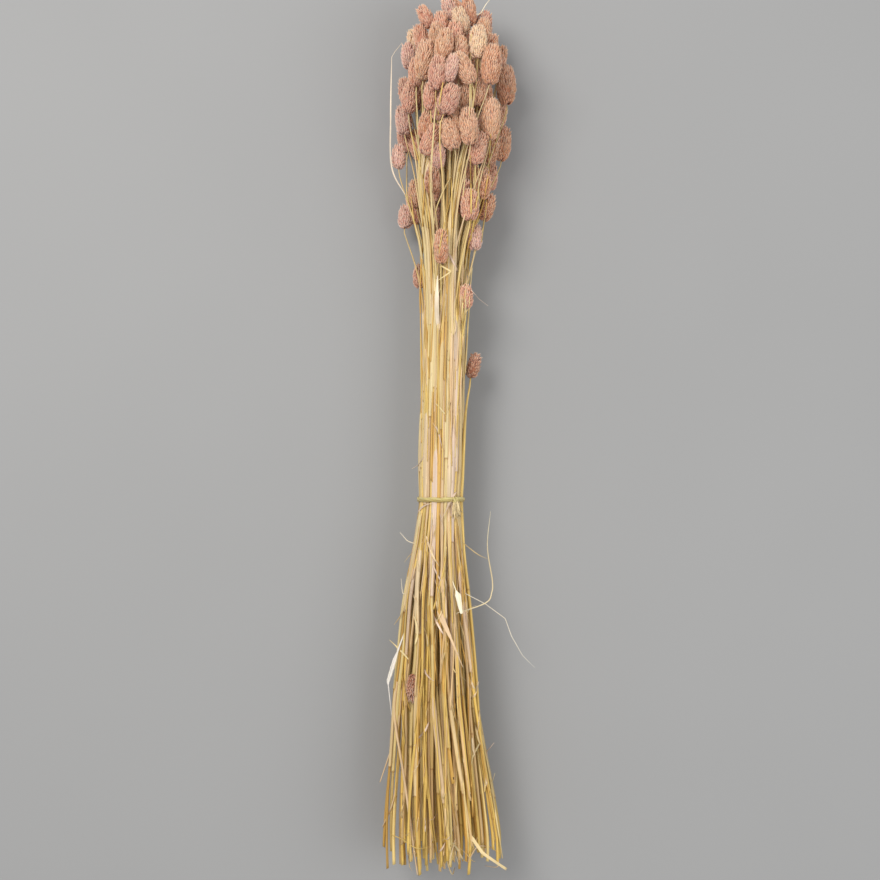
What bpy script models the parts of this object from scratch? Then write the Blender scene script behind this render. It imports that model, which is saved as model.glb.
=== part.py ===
"""A bundle of dried canary grass, lying on a surface.

The bundle lies along +Y with its seed heads at the +Y end, its cut ends at the -Y end and a twine
tie round its waist. Metres, +Z up. The origin is on the surface, under the middle of its box.

Lengths in the tables are millimetres: "along" is measured from the lowest cut end towards the
heads, "across" sideways from the middle of the tie.
"""

import math
import random

import bmesh
import bpy
import numpy as np
from mathutils import Matrix, Vector

MM = 0.001
SEED = 9

# The bundle's outline from above: along, the middle's place across, half the width.
OUTLINE = (
    (0, 4, 46), (25, 4, 47), (55, 2, 44), (95, 0, 39), (135, -2, 35), (175, -2, 31),
    (215, -2.5, 27.5), (255, -1.5, 21), (281, -0.3, 17.9), (295, 0, 16.9), (309, 0.4, 17.7),
    (375, 2, 19.5), (455, 4, 23),
    (500, 5, 27), (535, 6, 34), (566, 8, 38), (600, 11.5, 43.5), (630, 13.5, 46),
    (655, 11, 41), (680, 8, 28), (700, 12, 18),
)
AXIS_HEIGHT = 39 * MM

# The heads that show from above: across, along, lean to the right in degrees, length, width,
# and how many layers of heads lie over it.
SHOWN_HEADS = (
    (-11, 678, -29, 18, 10, 0), (7, 683, -20, 20, 11, 1), (15, 686, -50, 20, 11, 2),
    (25, 683, -5, 22, 11, 0), (1, 670, 0, 20, 11, 1), (14, 673, -15, 21, 12, 0),
    (15, 660, 0, 24, 13, 1), (27, 655, 0, 24, 13, 0), (29, 667, 5, 20, 11, 1),
    (-26, 652, -5, 20, 11, 0), (-19, 663, -10, 20, 11, 2), (-12, 662, -10, 20, 11, 1),
    (-12, 641, 5, 29, 14, 0), (-2, 659, 0, 22, 12, 1), (6, 651, 10, 24, 13, 0),
    (16, 648, 0, 22, 12, 1), (40, 654, 15, 21, 12, 1), (36, 637, 5, 29, 14, 0),
    (48, 652, 15, 20, 11, 2), (47, 642, 5, 20, 11, 2), (53, 628, 0, 29, 14, 0),
    (-21, 634, 0, 21, 12, 1), (-30, 624, -10, 22, 11, 1), (-4, 648, -10, 22, 12, 2),
    (-4, 628, 5, 25, 12, 0), (5, 632, 15, 20, 10, 0), (17, 633, -30, 25, 13, 0),
    (12, 622, 0, 24, 12, 2), (-13, 612, 0, 20, 10, 0), (-22, 616, 5, 24, 12, 1),
    (-4, 604, 15, 21, 11, 1), (10, 608, 20, 22, 15, 0), (21, 611, 0, 26, 13, 2),
    (26, 620, 0, 26, 13, 2), (38, 616, 0, 24, 12, 2), (39, 596, 3, 31, 14, 0),
    (49, 605, 10, 22, 12, 1), (46, 582, 5, 26, 12, 1), (-26, 600, -5, 22, 12, 0),
    (-15, 591, 10, 21, 11, 0), (-28, 588, -10, 22, 12, 2), (-8, 579, 25, 24, 12, 0),
    (6, 582, -20, 23, 14, 0), (10, 593, -10, 22, 12, 1), (20, 588, -5, 27, 13, 0),
    (31, 573, 10, 24, 13, 0), (-33, 569, 0, 18, 10, 0), (5, 567, 0, 20, 11, 1),
    (-7, 565, 5, 22, 12, 2), (40, 558, 0, 24, 12, 2), (-21, 541, -5, 21, 11, 1),
    (-24, 523, 5, 18, 11, 0), (-7, 546, 0, 27, 12, 2), (3, 547, 0, 20, 11, 1),
    (26, 554, 0, 22, 12, 2), (31, 547, 5, 24, 12, 1), (23, 528, 0, 23, 13, 0),
    (37, 529, 15, 21, 11, 0), (23, 504, 0, 19, 11, 1), (1, 495, 0, 25, 10, 0),
    (18, 456, 0, 18, 10, 0), (-16, 475, 0, 18, 10, 1), (27, 402, 15, 19, 9, 0),
    (-20, 146, 184, 21, 10, 0),
)
LAYER_DEPTH = 8 * MM
HIDDEN_HEADS = 40
HIDDEN_ALONG = (515 * MM, 572 * MM, 674 * MM)
HIDDEN_LOW_SHARE = 0.16
HIDDEN_LENGTH = (22 * MM, 29 * MM)
HIDDEN_SPACING = 12 * MM
HEAD_SLIMNESS = 0.53
PLUMPNESS = 1.14
# How far heads lean out: away from the bundle's axis, to its sides, and at random.
OUTWARD_LEAN = 0.25
SIDE_LEAN = 0.3
STRAY_LEAN = 0.12
HEADS_A_NODE = 3
HEAD_NODES = 58
# Heads side by side are grouped: how much their stretches overlap, and the weight of a step along.
SIDE_BY_SIDE = 0.55
STEP_WEIGHT = 0.8
BITE = (2.3 * MM, 3.3 * MM)
# How many spikelets go round a head, and rows of them up it: large, small and hidden heads.
HEAD_AROUND = (5, 5, 4)
HEAD_ROWS = (5, 4, 4)
LARGE_HEAD = 22
TIP_REACH = 0.96
TIP_RISE = 0.45
VALLEY_REACH = 0.86
FOOT_SHARE = 0.03
BROKEN_HEAD_DROP = 2.0 * MM
AWN = (3, 0.5, ((25, 674, 0), (31, 680, 3), (36, 687, 4), (41.6, 694, 5)))

# A stem's radius along the bundle, and the last stretch where it thins to its head.
STEM_RADIUS = ((0, 1.4), (240, 1.45), (320, 1.45), (400, 1.3), (470, 1.05), (700, 0.8))
NECK_RADIUS = 0.55 * MM
NECK_LENGTH = 60 * MM
CUT_END_SPREAD = (0, 26 * MM)
SHORT_CUTS = {5: 66 * MM, 17: 52 * MM, 31: 74 * MM, 44: 60 * MM, 78: 45 * MM, 96: 58 * MM}
# Rim stems that stand out at the foot: their place in the rim, and how far out.
LOOSE_FEET = {0: 1.16, 33: 1.12, 15: 1.1}
SAG = 0.07 * MM
BASE_SWAY = math.radians(32)
BASE_SPREAD = (0.78, 1.03)

WAIST_ALONG = 295 * MM
STATION_STEP = 5 * MM
STATIONS = np.arange(0, 0.705, STATION_STEP)
# Over how long a stretch a stem bends to its head's base, and then turns to its head's slope.
BASE_BEND = 50 * MM
NECK_BEND = 14 * MM
NECK_TURN = 0.8
# How far stems dive under the heads in front of them, how far below their own head that starts, and
# over how long a stretch it grows and fades.
DIVE = 8 * MM
DIVE_START = 10 * MM
DIVE_BEND = 22 * MM
DIVE_FADE = 150 * MM
STEM_CLEARANCE = 0.1 * MM
HEAD_CLEARANCE = 1.7 * MM
HEAD_CLEARANCE_HEADS = 0.8 * MM
PRESSED_FLAT = 0.5 * MM
# How much of an overlap each round undoes: stems off stems, stems off heads, heads off stems,
# heads off heads, and how much of a gap it closes between the heads of a group.
STEM_PUSH = 0.3
STEM_OFF_HEAD = 0.8
HEAD_OFF_STEM = 0.03
HEAD_PUSH = 0.25
HEAD_DRAW = 0.3
SHOWN_STAY = 0.6
ROUNDS = 150
CALM_ROUNDS = 25
ROUTE_TOLERANCE = 1.5 * MM
INNER_TOLERANCE = (2.3 * MM, 1.7 * MM)

# The packed middle of the bundle: the stretch, and the core inside its rim of stems.
STRAYS_BELOW = 440 * MM
RIM_STEMS = 34
RIM_STRIDE = 13
RIM_REACH = 0.3
INNER_FILL = 0.8
PACKED_ALONG = (258 * MM, 422 * MM)
CORE_ALONG = (258, 270, 295, 350, 411, 422)
CORE_SIDES = 14
CORE_WINDOW = 0.13
CORE_SINK = 0.1 * MM
CORE_END_SINK = 3.2 * MM
ROOT_LENGTH = 12 * MM
LOW_HEAD_ROOT = 55 * MM
SEAT_GAP = 0.3 * MM
NECK_GAP = 0.65 * MM

TIE_ALONG = 295 * MM
TIE_WIDTH = 4.4 * MM
TIE_THICKNESS = 1.8 * MM
TIE_TURNS = 12
TIE_SIDES = 5
STRAND_RELIEF = 0.16
KNOT_ANGLE = math.radians(48)
KNOT_SIZE = (3.4 * MM, 3.8 * MM, 2.2 * MM)
TAIL_RADII = (0.9, 0.9, 1.0, 0.6)
TAILS = (((1.5, -3, 0.5), (2.5, -7, 1), (1, -12, -0.5)), ((-1, -3, 1), (-2.5, -8, 1.2), (-5, -10, 0)))

# Leaf blades and loose wisps: width, then (across, along, height) of each point.
BLADES = (
    (2.4, ((-33, 538, 40), (-40, 566, 46), (-38.5, 612, 50), (-38, 647, 50), (-30, 658, 51))),
    (1.4, ((18, 205, 62), (36, 213, 52), (41, 221, 50), (41.6, 231, 50), (37.6, 258, 54), (40, 286, 56))),
    (1.0, ((24, 222, 56), (36, 212, 47), (52, 200, 44), (57, 186, 42), (66, 170, 38), (76, 160, 36))),
    (1.6, ((-17, 258, 44), (-26, 262, 46), (-32, 269, 47))),
    (1.6, ((-22, 218, 40), (-30, 220, 42), (-31, 232, 44))),
    (4.6, ((-27, 190, 46), (-36, 168, 46), (-41.6, 150, 45), (-38.6, 122, 42), (-33, 112, 42))),
    (5.0, ((-2, 432, 58), (-2.5, 450, 61.5), (-2, 472, 63))),
    (3.4, ((0, 208, 66), (8, 188, 71), (18, 164, 71))),
    (3.6, ((11, 235, 60), (14, 220, 66), (17, 206, 69))),
    (3.0, ((18, 34, 80), (33, 18, 80), (52, 6, 72))),
    (1.8, ((-3, 480, 60), (8.8, 475, 65), (-1.6, 468, 64.5))),
)
BLADE_THICKNESS = 0.7 * MM
BLADE_ENDS = (0.6, 0.45)

STRAW = (0.72, 0.55, 0.27, 1)
DUSTY_PINK = (0.58, 0.34, 0.25, 1)
TWINE = (0.50, 0.41, 0.20, 1)


def outline_at(along):
    """The bundle's middle across and half its width at a distance along it."""
    rows = np.array(OUTLINE) * MM
    middle = np.interp(along, rows[:, 0], rows[:, 1])
    return middle, np.interp(along, rows[:, 0], rows[:, 2])


def half_at_waist():
    """Half the bundle's width at its tie."""
    return float(outline_at(WAIST_ALONG)[1])


def stem_radius(along, head_base):
    """A stem's radius at a distance along the bundle."""
    rows = np.array(STEM_RADIUS) * MM
    thick = np.interp(along, rows[:, 0], rows[:, 1])
    near = np.clip((head_base - along) / NECK_LENGTH, 0, 1)
    return NECK_RADIUS + (thick - NECK_RADIUS) * near


def head_swell(share):
    """A head's radius as a share of its widest, from its base at 0 to its tip at 1."""
    share = np.clip(share, 0, 1)
    return np.sqrt(np.maximum(np.sin(math.pi * share**0.85), 0))


class Bunch:
    """The plants: each head's middle, slope, length and radius, and its stem at every station."""

    def __init__(self):
        draw = random.Random(SEED)
        heads = self.shown_heads() + self.hidden_heads(draw)
        self.centre = np.array([h[0] for h in heads])
        self.slope = np.array([h[1] for h in heads])
        self.length = np.array([h[2] for h in heads])
        self.radius = np.array([h[3] for h in heads])
        self.count = len(heads)
        self.shown = len(SHOWN_HEADS)
        self.twist = [draw.uniform(0, math.tau) for _ in heads]
        steepness = np.sqrt(1 + (self.slope**2).sum(axis=1))
        self.half_reach = self.length / steepness / 2
        self.base_along = self.centre[:, 1] - self.half_reach
        self.cut_along = self.cut_ends(draw)
        self.first_place = self.stem_places(draw)
        self.place = self.first_place.copy()
        self.first_centre = self.centre.copy()
        self.groups = self.group_heads()

    def shown_heads(self):
        """The heads that the table gives, on the bundle's upper side, layer under layer."""
        heads = []
        for across, along, lean, length, width, layer in SHOWN_HEADS:
            across, along, length = across * MM, along * MM, length * MM
            width = width * PLUMPNESS * MM
            middle, half = outline_at(along)
            shell = max(half - width / 2, abs(across - middle))
            rise = math.sqrt(max(shell**2 - (across - middle) ** 2, 0))
            height = AXIS_HEIGHT + rise - layer * LAYER_DEPTH
            outward = OUTWARD_LEAN * rise / half
            slope = (math.tan(math.radians(lean)), outward)
            heads.append(((across, along, height), slope, length, width / 2))
        return heads

    def points_back(self, plant):
        """Whether a head points to the cut ends: a broken one, caught among the stems."""
        return plant < self.shown and SHOWN_HEADS[plant][2] > 90

    def hidden_heads(self, draw):
        """Heads drawn at random for the middle and the underside, none too near another."""
        taken = [h[0] for h in self.shown_heads()]
        heads = []
        spacing = HIDDEN_SPACING
        while len(heads) < HIDDEN_HEADS:
            low = draw.random() < HIDDEN_LOW_SHARE
            along = draw.uniform(*(HIDDEN_ALONG[:2] if low else HIDDEN_ALONG[1:]))
            length = draw.uniform(*HIDDEN_LENGTH)
            radius = length * HEAD_SLIMNESS / 2
            middle, half = outline_at(along)
            angle = draw.uniform(-math.pi, math.pi)
            limit = 1 if math.sin(angle) < 0.1 else 0.6
            distance = (half - radius) * limit * math.sqrt(draw.random())
            across = middle + distance * math.cos(angle)
            height = max(AXIS_HEIGHT + distance * math.sin(angle), radius)
            spot = (across, along, height)
            nearest = min(
                math.dist((a, b / 2, c), (across, along / 2, height)) for a, b, c in taken
            )
            if nearest < spacing:
                spacing *= 0.999
                continue
            taken.append(spot)
            lean = SIDE_LEAN * (across - middle) / half + draw.uniform(-STRAY_LEAN, STRAY_LEAN)
            drop = OUTWARD_LEAN * (height - AXIS_HEIGHT) / half
            heads.append((spot, (lean, drop), length, radius))
        return heads

    def cut_ends(self, draw):
        """Where each stem is cut, a little uneven, with a few cut short."""
        cuts = [draw.uniform(*CUT_END_SPREAD) for _ in range(self.count)]
        for plant, along in SHORT_CUTS.items():
            cuts[plant] = along
        for plant in range(self.count):
            if self.points_back(plant):
                cuts[plant] = self.base_along[plant] + STATION_STEP
        return np.array(cuts)

    def stem_places(self, draw):
        """Each stem's first place at every station, as (across, height)."""
        middle, half = outline_at(self.base_along)
        base = self.centre[:, [0, 2]] - self.slope * self.half_reach[:, None]
        top = (base - np.stack([middle, np.full(self.count, AXIS_HEIGHT)], 1)) / half[:, None]
        distance = np.hypot(top[:, 0], top[:, 1])
        angle = np.arctan2(top[:, 1], top[:, 0])
        self.rim = self.rim_order(angle, distance)
        inner = [p for p in np.argsort(distance, kind="stable") if p not in self.rim]
        packed = np.full(self.count, 1 - STEM_RADIUS[1][1] * MM / half_at_waist())
        packed[inner] = INNER_FILL * np.sqrt((np.arange(len(inner)) + 0.5) / len(inner))
        turn = angle.copy()
        turn[self.rim] = math.tau * np.arange(RIM_STEMS) / RIM_STEMS - math.pi
        waist = packed[:, None] * np.stack([np.cos(turn), np.sin(turn)], 1)
        sway = np.array([draw.uniform(-BASE_SWAY, BASE_SWAY) for _ in turn])
        spread = np.array([draw.uniform(*BASE_SPREAD) for _ in turn])
        for slot, far in LOOSE_FEET.items():
            sway[self.rim[slot]] = 0
            spread[self.rim[slot]] = far
        foot = np.stack([np.cos(turn + sway), np.sin(turn + sway)], 1)
        foot = foot * (packed * spread)[:, None]
        places = np.zeros((len(STATIONS), self.count, 2))
        middles, halves = outline_at(STATIONS)
        for row, along in enumerate(STATIONS):
            if along < WAIST_ALONG:
                share = along / WAIST_ALONG
                unit = foot + (waist - foot) * share
            else:
                rise = np.maximum(self.base_along - WAIST_ALONG, 0.03)
                share = np.clip((along - WAIST_ALONG) / rise, 0, 1)[:, None]
                unit = waist + (top - waist) * share
            places[row] = unit * halves[row] + (middles[row], AXIS_HEIGHT)
        self.bend_to_heads(places, base)
        return places

    def rim_order(self, angle, distance):
        """The plants whose stems make the rim at the waist, in order round it."""
        rim = {}
        for step in range(RIM_STEMS):
            slot = (step * RIM_STRIDE) % RIM_STEMS
            turn = math.tau * slot / RIM_STEMS - math.pi
            off = np.abs((angle - turn + math.pi) % math.tau - math.pi)
            cost = off**2 - RIM_REACH * distance
            cost[list(rim.values())] = np.inf
            rim[slot] = int(np.argmin(cost))
        return [rim[slot] for slot in range(RIM_STEMS)]

    def bend_to_heads(self, places, base):
        """Carries each stem to its head's base, and turns its end to the head's slope."""
        for plant in range(self.count):
            last = int(self.base_along[plant] / STATION_STEP)
            left = np.maximum(self.base_along[plant] - STATIONS, 0)
            miss = base[plant] - places[last, plant]
            places[:, plant] += miss * np.exp(-left / BASE_BEND)[:, None]
            slope = (places[last, plant] - places[last - 2, plant]) / (2 * STATION_STEP)
            turn = (self.slope[plant] - slope) * NECK_TURN
            places[:, plant] -= turn * (left * np.exp(-left / NECK_BEND))[:, None]
            middle, half = outline_at(self.base_along[plant])
            inward = np.array([middle, AXIS_HEIGHT]) - base[plant]
            inward /= max(half, math.hypot(*inward))
            fade = np.clip((STATIONS - WAIST_ALONG) / DIVE_FADE, 0, 1)
            sink = DIVE * (1 - np.exp(-np.maximum(left - DIVE_START, 0) / DIVE_BEND)) * fade
            places[:, plant] += inward * sink[:, None]

    def group_heads(self):
        """Groups of heads that touch, at most HEADS_A_NODE in each, as lists of plants."""
        pairs = []
        for a in range(self.count):
            for b in range(a):
                apart = (self.centre[a] - self.centre[b]) * (1, STEP_WEIGHT, 1)
                near = math.sqrt((apart**2).sum()) - self.radius[a] - self.radius[b]
                overlap = self.half_reach[a] + self.half_reach[b]
                if abs(apart[1]) < SIDE_BY_SIDE * overlap:
                    pairs.append((round(near, 6), a, b))
        group = {plant: [plant] for plant in range(self.count)}
        self.bonds = []
        groups = self.count
        for _, a, b in sorted(pairs):
            if groups == HEAD_NODES:
                break
            if group[a] is group[b] or len(group[a]) + len(group[b]) > HEADS_A_NODE:
                continue
            joined = group[a] + group[b]
            self.bonds.append((a, b))
            groups -= 1
            for plant in joined:
                group[plant] = joined
        unique = {tuple(sorted(members)) for members in group.values()}
        return sorted(unique, key=lambda members: -self.centre[members[0], 1])

    def head_rows(self, plant):
        """The stations inside a head, and its middle and radius at each."""
        off = STATIONS - self.centre[plant, 1]
        rows = np.flatnonzero(np.abs(off) < self.half_reach[plant] + STATION_STEP / 2)
        place = self.centre[plant, [0, 2]] + self.slope[plant] * off[rows, None]
        share = np.clip(off[rows] / self.half_reach[plant] / 2 + 0.5, FOOT_SHARE, 1 - FOOT_SHARE)
        return rows, place, self.radius[plant] * head_swell(share)

    def fill_stations(self):
        """Every plant's radius at each station, and whether it is stem or head there."""
        along = STATIONS[:, None]
        self.girth = stem_radius(along, self.base_along[None, :])
        self.is_stem = (along > self.cut_along - STATION_STEP) & (along <= self.base_along)
        self.is_head = np.zeros_like(self.is_stem)
        for plant in range(self.count):
            rows, place, radius = self.head_rows(plant)
            self.place[rows, plant] = place
            self.girth[rows, plant] = radius
            self.is_head[rows, plant] = True
            self.is_stem[rows, plant] = False

    def part_stems(self):
        """Moves overlapping stems apart at each station."""
        for row in range(len(STATIONS)):
            here = np.flatnonzero(self.is_stem[row])
            place = self.place[row, here]
            girth = self.girth[row, here]
            gap = place[:, None] - place[None, :]
            far = np.sqrt(gap[..., 0] ** 2 + gap[..., 1] ** 2) + 1e-9
            over = np.maximum(girth[:, None] + girth[None, :] + STEM_CLEARANCE - far, 0)
            np.fill_diagonal(over, 0)
            self.place[row, here] += STEM_PUSH * (gap * (over / far)[..., None]).sum(axis=1)

    def part_heads(self):
        """Moves stems off the heads that they would cross, and heads off each other."""
        shift = np.zeros((self.count, 2))
        bonded = {frozenset(bond) for bond in self.bonds}
        for plant in range(self.count):
            rows, middle, radius = self.head_rows(plant)
            gap = self.place[rows] - middle[:, None]
            far = np.sqrt(gap[..., 0] ** 2 + gap[..., 1] ** 2) + 1e-9
            stem_here, head_here = self.is_stem[rows], self.is_head[rows].copy()
            head_here[:, plant] = False
            clear = np.where(stem_here, HEAD_CLEARANCE, HEAD_CLEARANCE_HEADS)
            over = self.girth[rows] + radius[:, None] + clear - far
            over = np.where(stem_here | head_here, np.maximum(over, 0), 0)
            for other in np.flatnonzero(over.max(axis=0) > 0):
                hit = over[:, other] > 0
                away = gap[hit, other].sum(axis=0)
                size = math.hypot(*away)
                if size < 1e-6:
                    away, size = np.array([0.0, -1.0]), 1.0
                away = away / size
                stems = stem_here[:, other]
                self.place[rows[stems], other] += away * (STEM_OFF_HEAD * over[stems, other])[:, None]
                shift[plant] -= HEAD_OFF_STEM * away * over[stems, other].max(initial=0)
                push = over[head_here[:, other], other].max(initial=0)
                if frozenset((plant, int(other))) in bonded:
                    continue
                shift[other] += HEAD_PUSH * push * away
                shift[plant] -= HEAD_PUSH * push * away
        for a, b in self.bonds:
            self.draw_together(a, b, shift)
        shift[: self.shown, 0] *= SHOWN_STAY
        shift[self.centre[:, 2] < AXIS_HEIGHT, 1] -= SAG
        self.centre[:, [0, 2]] += shift

    def draw_together(self, a, b, shift):
        """Brings two heads of one group to where they bite a little into each other."""
        rows, middle, radius = self.head_rows(a)
        both = self.is_head[rows, b]
        gap = self.place[rows[both], b] - middle[both]
        far = np.sqrt(gap[:, 0] ** 2 + gap[:, 1] ** 2) + 1e-9
        bite = BITE[max(a, b) >= self.shown]
        over = self.girth[rows[both], b] + radius[both] - bite - far
        if not len(over):
            return
        worst = int(np.argmax(over))
        step = HEAD_DRAW * over[worst] * gap[worst] / far[worst]
        shift[b] += step
        shift[a] -= step

    def keep_in_bounds(self):
        """Keeps stems inside the outline where they are packed, and all of it off the surface."""
        middle, half = outline_at(STATIONS)
        packed = half[:, None] - self.girth
        off = self.place - np.stack([middle, np.full(len(middle), AXIS_HEIGHT)], 1)[:, None]
        far = np.sqrt(off[..., 0] ** 2 + off[..., 1] ** 2) + 1e-9
        tight = (STATIONS < STRAYS_BELOW)[:, None] & self.is_stem & (far > packed)
        tight[:, self.strays()] = False
        for slot in LOOSE_FEET:
            tight[STATIONS < PACKED_ALONG[0] - 30 * MM, self.rim[slot]] = False
        scale = np.where(tight, packed / far, 1)
        self.place += off * (scale - 1)[..., None]
        lifted = np.maximum(self.place[..., 1], self.girth)
        self.place[..., 1] = np.where(self.is_stem, lifted, self.place[..., 1])
        for plant in range(self.count):
            rows, place, radius = self.head_rows(plant)
            lowest = (place[:, 1] - radius).min()
            self.centre[plant, 2] += max(-PRESSED_FLAT - lowest, 0)

    def strays(self):
        """Plants whose head lies beside the packed stems."""
        return np.flatnonzero(self.centre[:, 1] < STRAYS_BELOW)

    def relax_stems(self):
        """Spreads each stem's sideways push along it, as a springy straw does."""
        pushed = self.place - self.first_place
        moved = (self.centre - self.first_centre)[:, [0, 2]]
        above = STATIONS[:, None] > self.base_along
        pushed = np.where(above[..., None], moved, pushed)
        for _ in range(3):
            padded = np.concatenate([pushed[:1], pushed, pushed[-1:]])
            pushed = 0.25 * padded[:-2] + 0.5 * pushed + 0.25 * padded[2:]
        self.place = self.first_place + pushed

    def settle(self):
        """Pushes everything apart, round after round, until nothing crosses."""
        for step in range(ROUNDS):
            self.fill_stations()
            self.part_heads()
            self.part_stems()
            self.keep_in_bounds()
            if step < ROUNDS - CALM_ROUNDS:
                self.relax_stems()
            self.place = np.round(self.place, 7)
            self.centre = np.round(self.centre, 7)
        for plant in range(self.count):
            if self.points_back(plant):
                self.centre[plant, 2] -= BROKEN_HEAD_DROP
        self.fill_stations()
        return self

    def head_base(self, plant):
        """The point where a head sits on its stem."""
        across, height = self.centre[plant, [0, 2]] - self.slope[plant] * self.half_reach[plant]
        return Vector((across, self.base_along[plant], height))

    def head_direction(self, plant):
        """The way a head points, from its base to its tip."""
        return Vector((self.slope[plant, 0], 1, self.slope[plant, 1])).normalized()

    def stem_points(self, plant, start, end):
        """Points of a stem between two distances along the bundle."""
        inner = STATIONS[(STATIONS > start + 1 * MM) & (STATIONS < end - 1 * MM)]
        return [self.stem_point(plant, along) for along in (start, *inner, end)]

    def neck_points(self, plant, start):
        """Points of a stem from a distance along the bundle up to just below its head."""
        base = self.head_base(plant)
        end = base - self.head_direction(plant) * NECK_GAP
        return [*self.stem_points(plant, start, end.y)[:-1], end]

    def nearest_stem(self, spot):
        """The middle, at the same distance along, of the stem nearest to a point."""
        row = int(round(spot.y / STATION_STEP))
        here = np.flatnonzero(self.is_stem[row])
        off = self.place[row, here] - (spot.x, spot.z)
        plant = int(here[np.argmin((off**2).sum(axis=1))])
        return self.stem_point(plant, spot.y)

    def stem_point(self, plant, along):
        """The stem's middle at a distance along the bundle."""
        base = self.head_base(plant)
        if along > base.y:
            along = base.y
        last = int(base.y / STATION_STEP)
        stations = np.append(STATIONS[: last + 1], base.y + 1e-6)
        across = np.append(self.place[: last + 1, plant, 0], base.x)
        height = np.append(self.place[: last + 1, plant, 1], base.z)
        return Vector((np.interp(along, stations, across), along, np.interp(along, stations, height)))


def simplified(points, tolerance):
    """A route without the points that lie within the tolerance of a straight run."""
    if len(points) < 3:
        return points
    first, last = points[0], points[-1]
    run = (last - first).normalized()
    misses = [((p - first) - run * (p - first).dot(run)).length for p in points[1:-1]]
    worst = max(range(len(misses)), key=misses.__getitem__)
    if misses[worst] < tolerance:
        return [first, last]
    split = worst + 1
    before = simplified(points[: split + 1], tolerance)
    return before[:-1] + simplified(points[split:], tolerance)


def swept(name, route, sections):
    """A closed body through the route, with a section of (sideways, up) offsets at each point."""
    shape = bmesh.new()
    rings = []
    normal = Vector((0, 0, 1))
    for i, (point, section) in enumerate(zip(route, sections)):
        ahead = route[min(i + 1, len(route) - 1)] - route[max(i - 1, 0)]
        ahead.normalize()
        normal = (normal - ahead * normal.dot(ahead)).normalized()
        side = ahead.cross(normal)
        ring = []
        for across, up in section:
            spot = point + side * across + normal * up
            spot.z = max(spot.z, 0)
            ring.append(shape.verts.new(spot))
        rings.append(ring)
    count = len(rings[0])
    for ring, following in zip(rings, rings[1:]):
        for k in range(count):
            after = (k + 1) % count
            shape.faces.new((ring[k], ring[after], following[after], following[k]))
    shape.faces.new(rings[0][::-1])
    shape.faces.new(rings[-1])
    return finished_object(name, shape)


def finished_object(name, shape):
    """An object made of the triangles of a closed shape, facing out."""
    bmesh.ops.triangulate(shape, faces=shape.faces)
    bmesh.ops.recalc_face_normals(shape, faces=shape.faces)
    mesh = bpy.data.meshes.new(name)
    shape.to_mesh(mesh)
    shape.free()
    made = bpy.data.objects.new(name, mesh)
    bpy.context.scene.collection.objects.link(made)
    return made


def rounded(radius, sides, start=-math.pi / 2):
    """A regular section of the given radius, with one corner down."""
    angles = [start + math.tau * k / sides for k in range(sides)]
    return [(radius * math.cos(a), radius * math.sin(a)) for a in angles]


def flat_section(width, thickness):
    """A flat section with square edges."""
    half, rise = width / 2, thickness / 2
    return [(-half, -rise), (half, -rise), (half, rise), (-half, rise)]


def make_head(bunch, plant):
    """A head: pointed spikelets in staggered rows on an egg-shaped body."""
    hidden = plant >= bunch.shown
    large = not hidden and SHOWN_HEADS[plant][-1] < 2 and SHOWN_HEADS[plant][3] >= LARGE_HEAD
    kind = 0 if large else 2 if hidden else 1
    around, rows = HEAD_AROUND[kind], HEAD_ROWS[kind]
    base, ahead = bunch.head_base(plant), bunch.head_direction(plant)
    length, radius = bunch.length[plant], bunch.radius[plant] * TIP_REACH
    if bunch.points_back(plant):
        base, ahead = base + ahead * length, -ahead
    side = ahead.cross(Vector((0, 0, 1))).normalized()
    up = side.cross(ahead)
    shares = [level / rows for level in range(rows + 1)]
    shape = bmesh.new()

    def corner(share, turn, reach):
        angle = bunch.twist[plant] + math.tau * turn / around
        size = float(head_swell(FOOT_SHARE + (1 - FOOT_SHARE) * share)) * radius * reach
        spot = base + ahead * (length * share)
        spot += (side * math.cos(angle) + up * math.sin(angle)) * size
        spot.z = max(spot.z, 0)
        return shape.verts.new(spot)

    levels = []
    for level in range(rows):
        stagger = 0.5 * (level % 2)
        reach = VALLEY_REACH if level else 1
        levels.append([corner(shares[level], i + stagger, reach) for i in range(around)])
    levels.append([corner(1, 0, 0)] * around)
    for level in range(rows):
        for i in range(around):
            left, right = levels[level][i], levels[level][(i + 1) % around]
            above = levels[level + 1][(i + level % 2) % around]
            if level == 0:
                shape.faces.new((left, right, above))
                continue
            below = levels[level - 1][(i + level % 2) % around]
            pitch = shares[1] - shares[0]
            tip = corner(shares[level] + TIP_RISE * pitch, i + 0.5 + 0.5 * (level % 2), 1)
            for first, second in ((below, right), (right, above), (above, left), (left, below)):
                shape.faces.new((first, second, tip))
    shape.faces.new(levels[0][::-1])
    return finished_object("head", shape)


def fused(name, pieces):
    """One body out of pieces that overlap."""
    body = pieces[0]
    if len(pieces) > 1:
        others = bpy.data.collections.new(name)
        for piece in pieces[1:]:
            others.objects.link(piece)
        union = body.modifiers.new("union", "BOOLEAN")
        union.operation = "UNION"
        union.operand_type = "COLLECTION"
        union.collection = others
        union.solver = "MANIFOLD"
        bpy.context.view_layer.update()
        merged = body.evaluated_get(bpy.context.evaluated_depsgraph_get())
        mesh = bpy.data.meshes.new_from_object(merged)
        body.modifiers.clear()
        body.data = mesh
        for piece in pieces[1:]:
            bpy.data.objects.remove(piece)
        bpy.data.collections.remove(others)
    keep_largest_body(body.data)
    body.name = name
    return body


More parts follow.
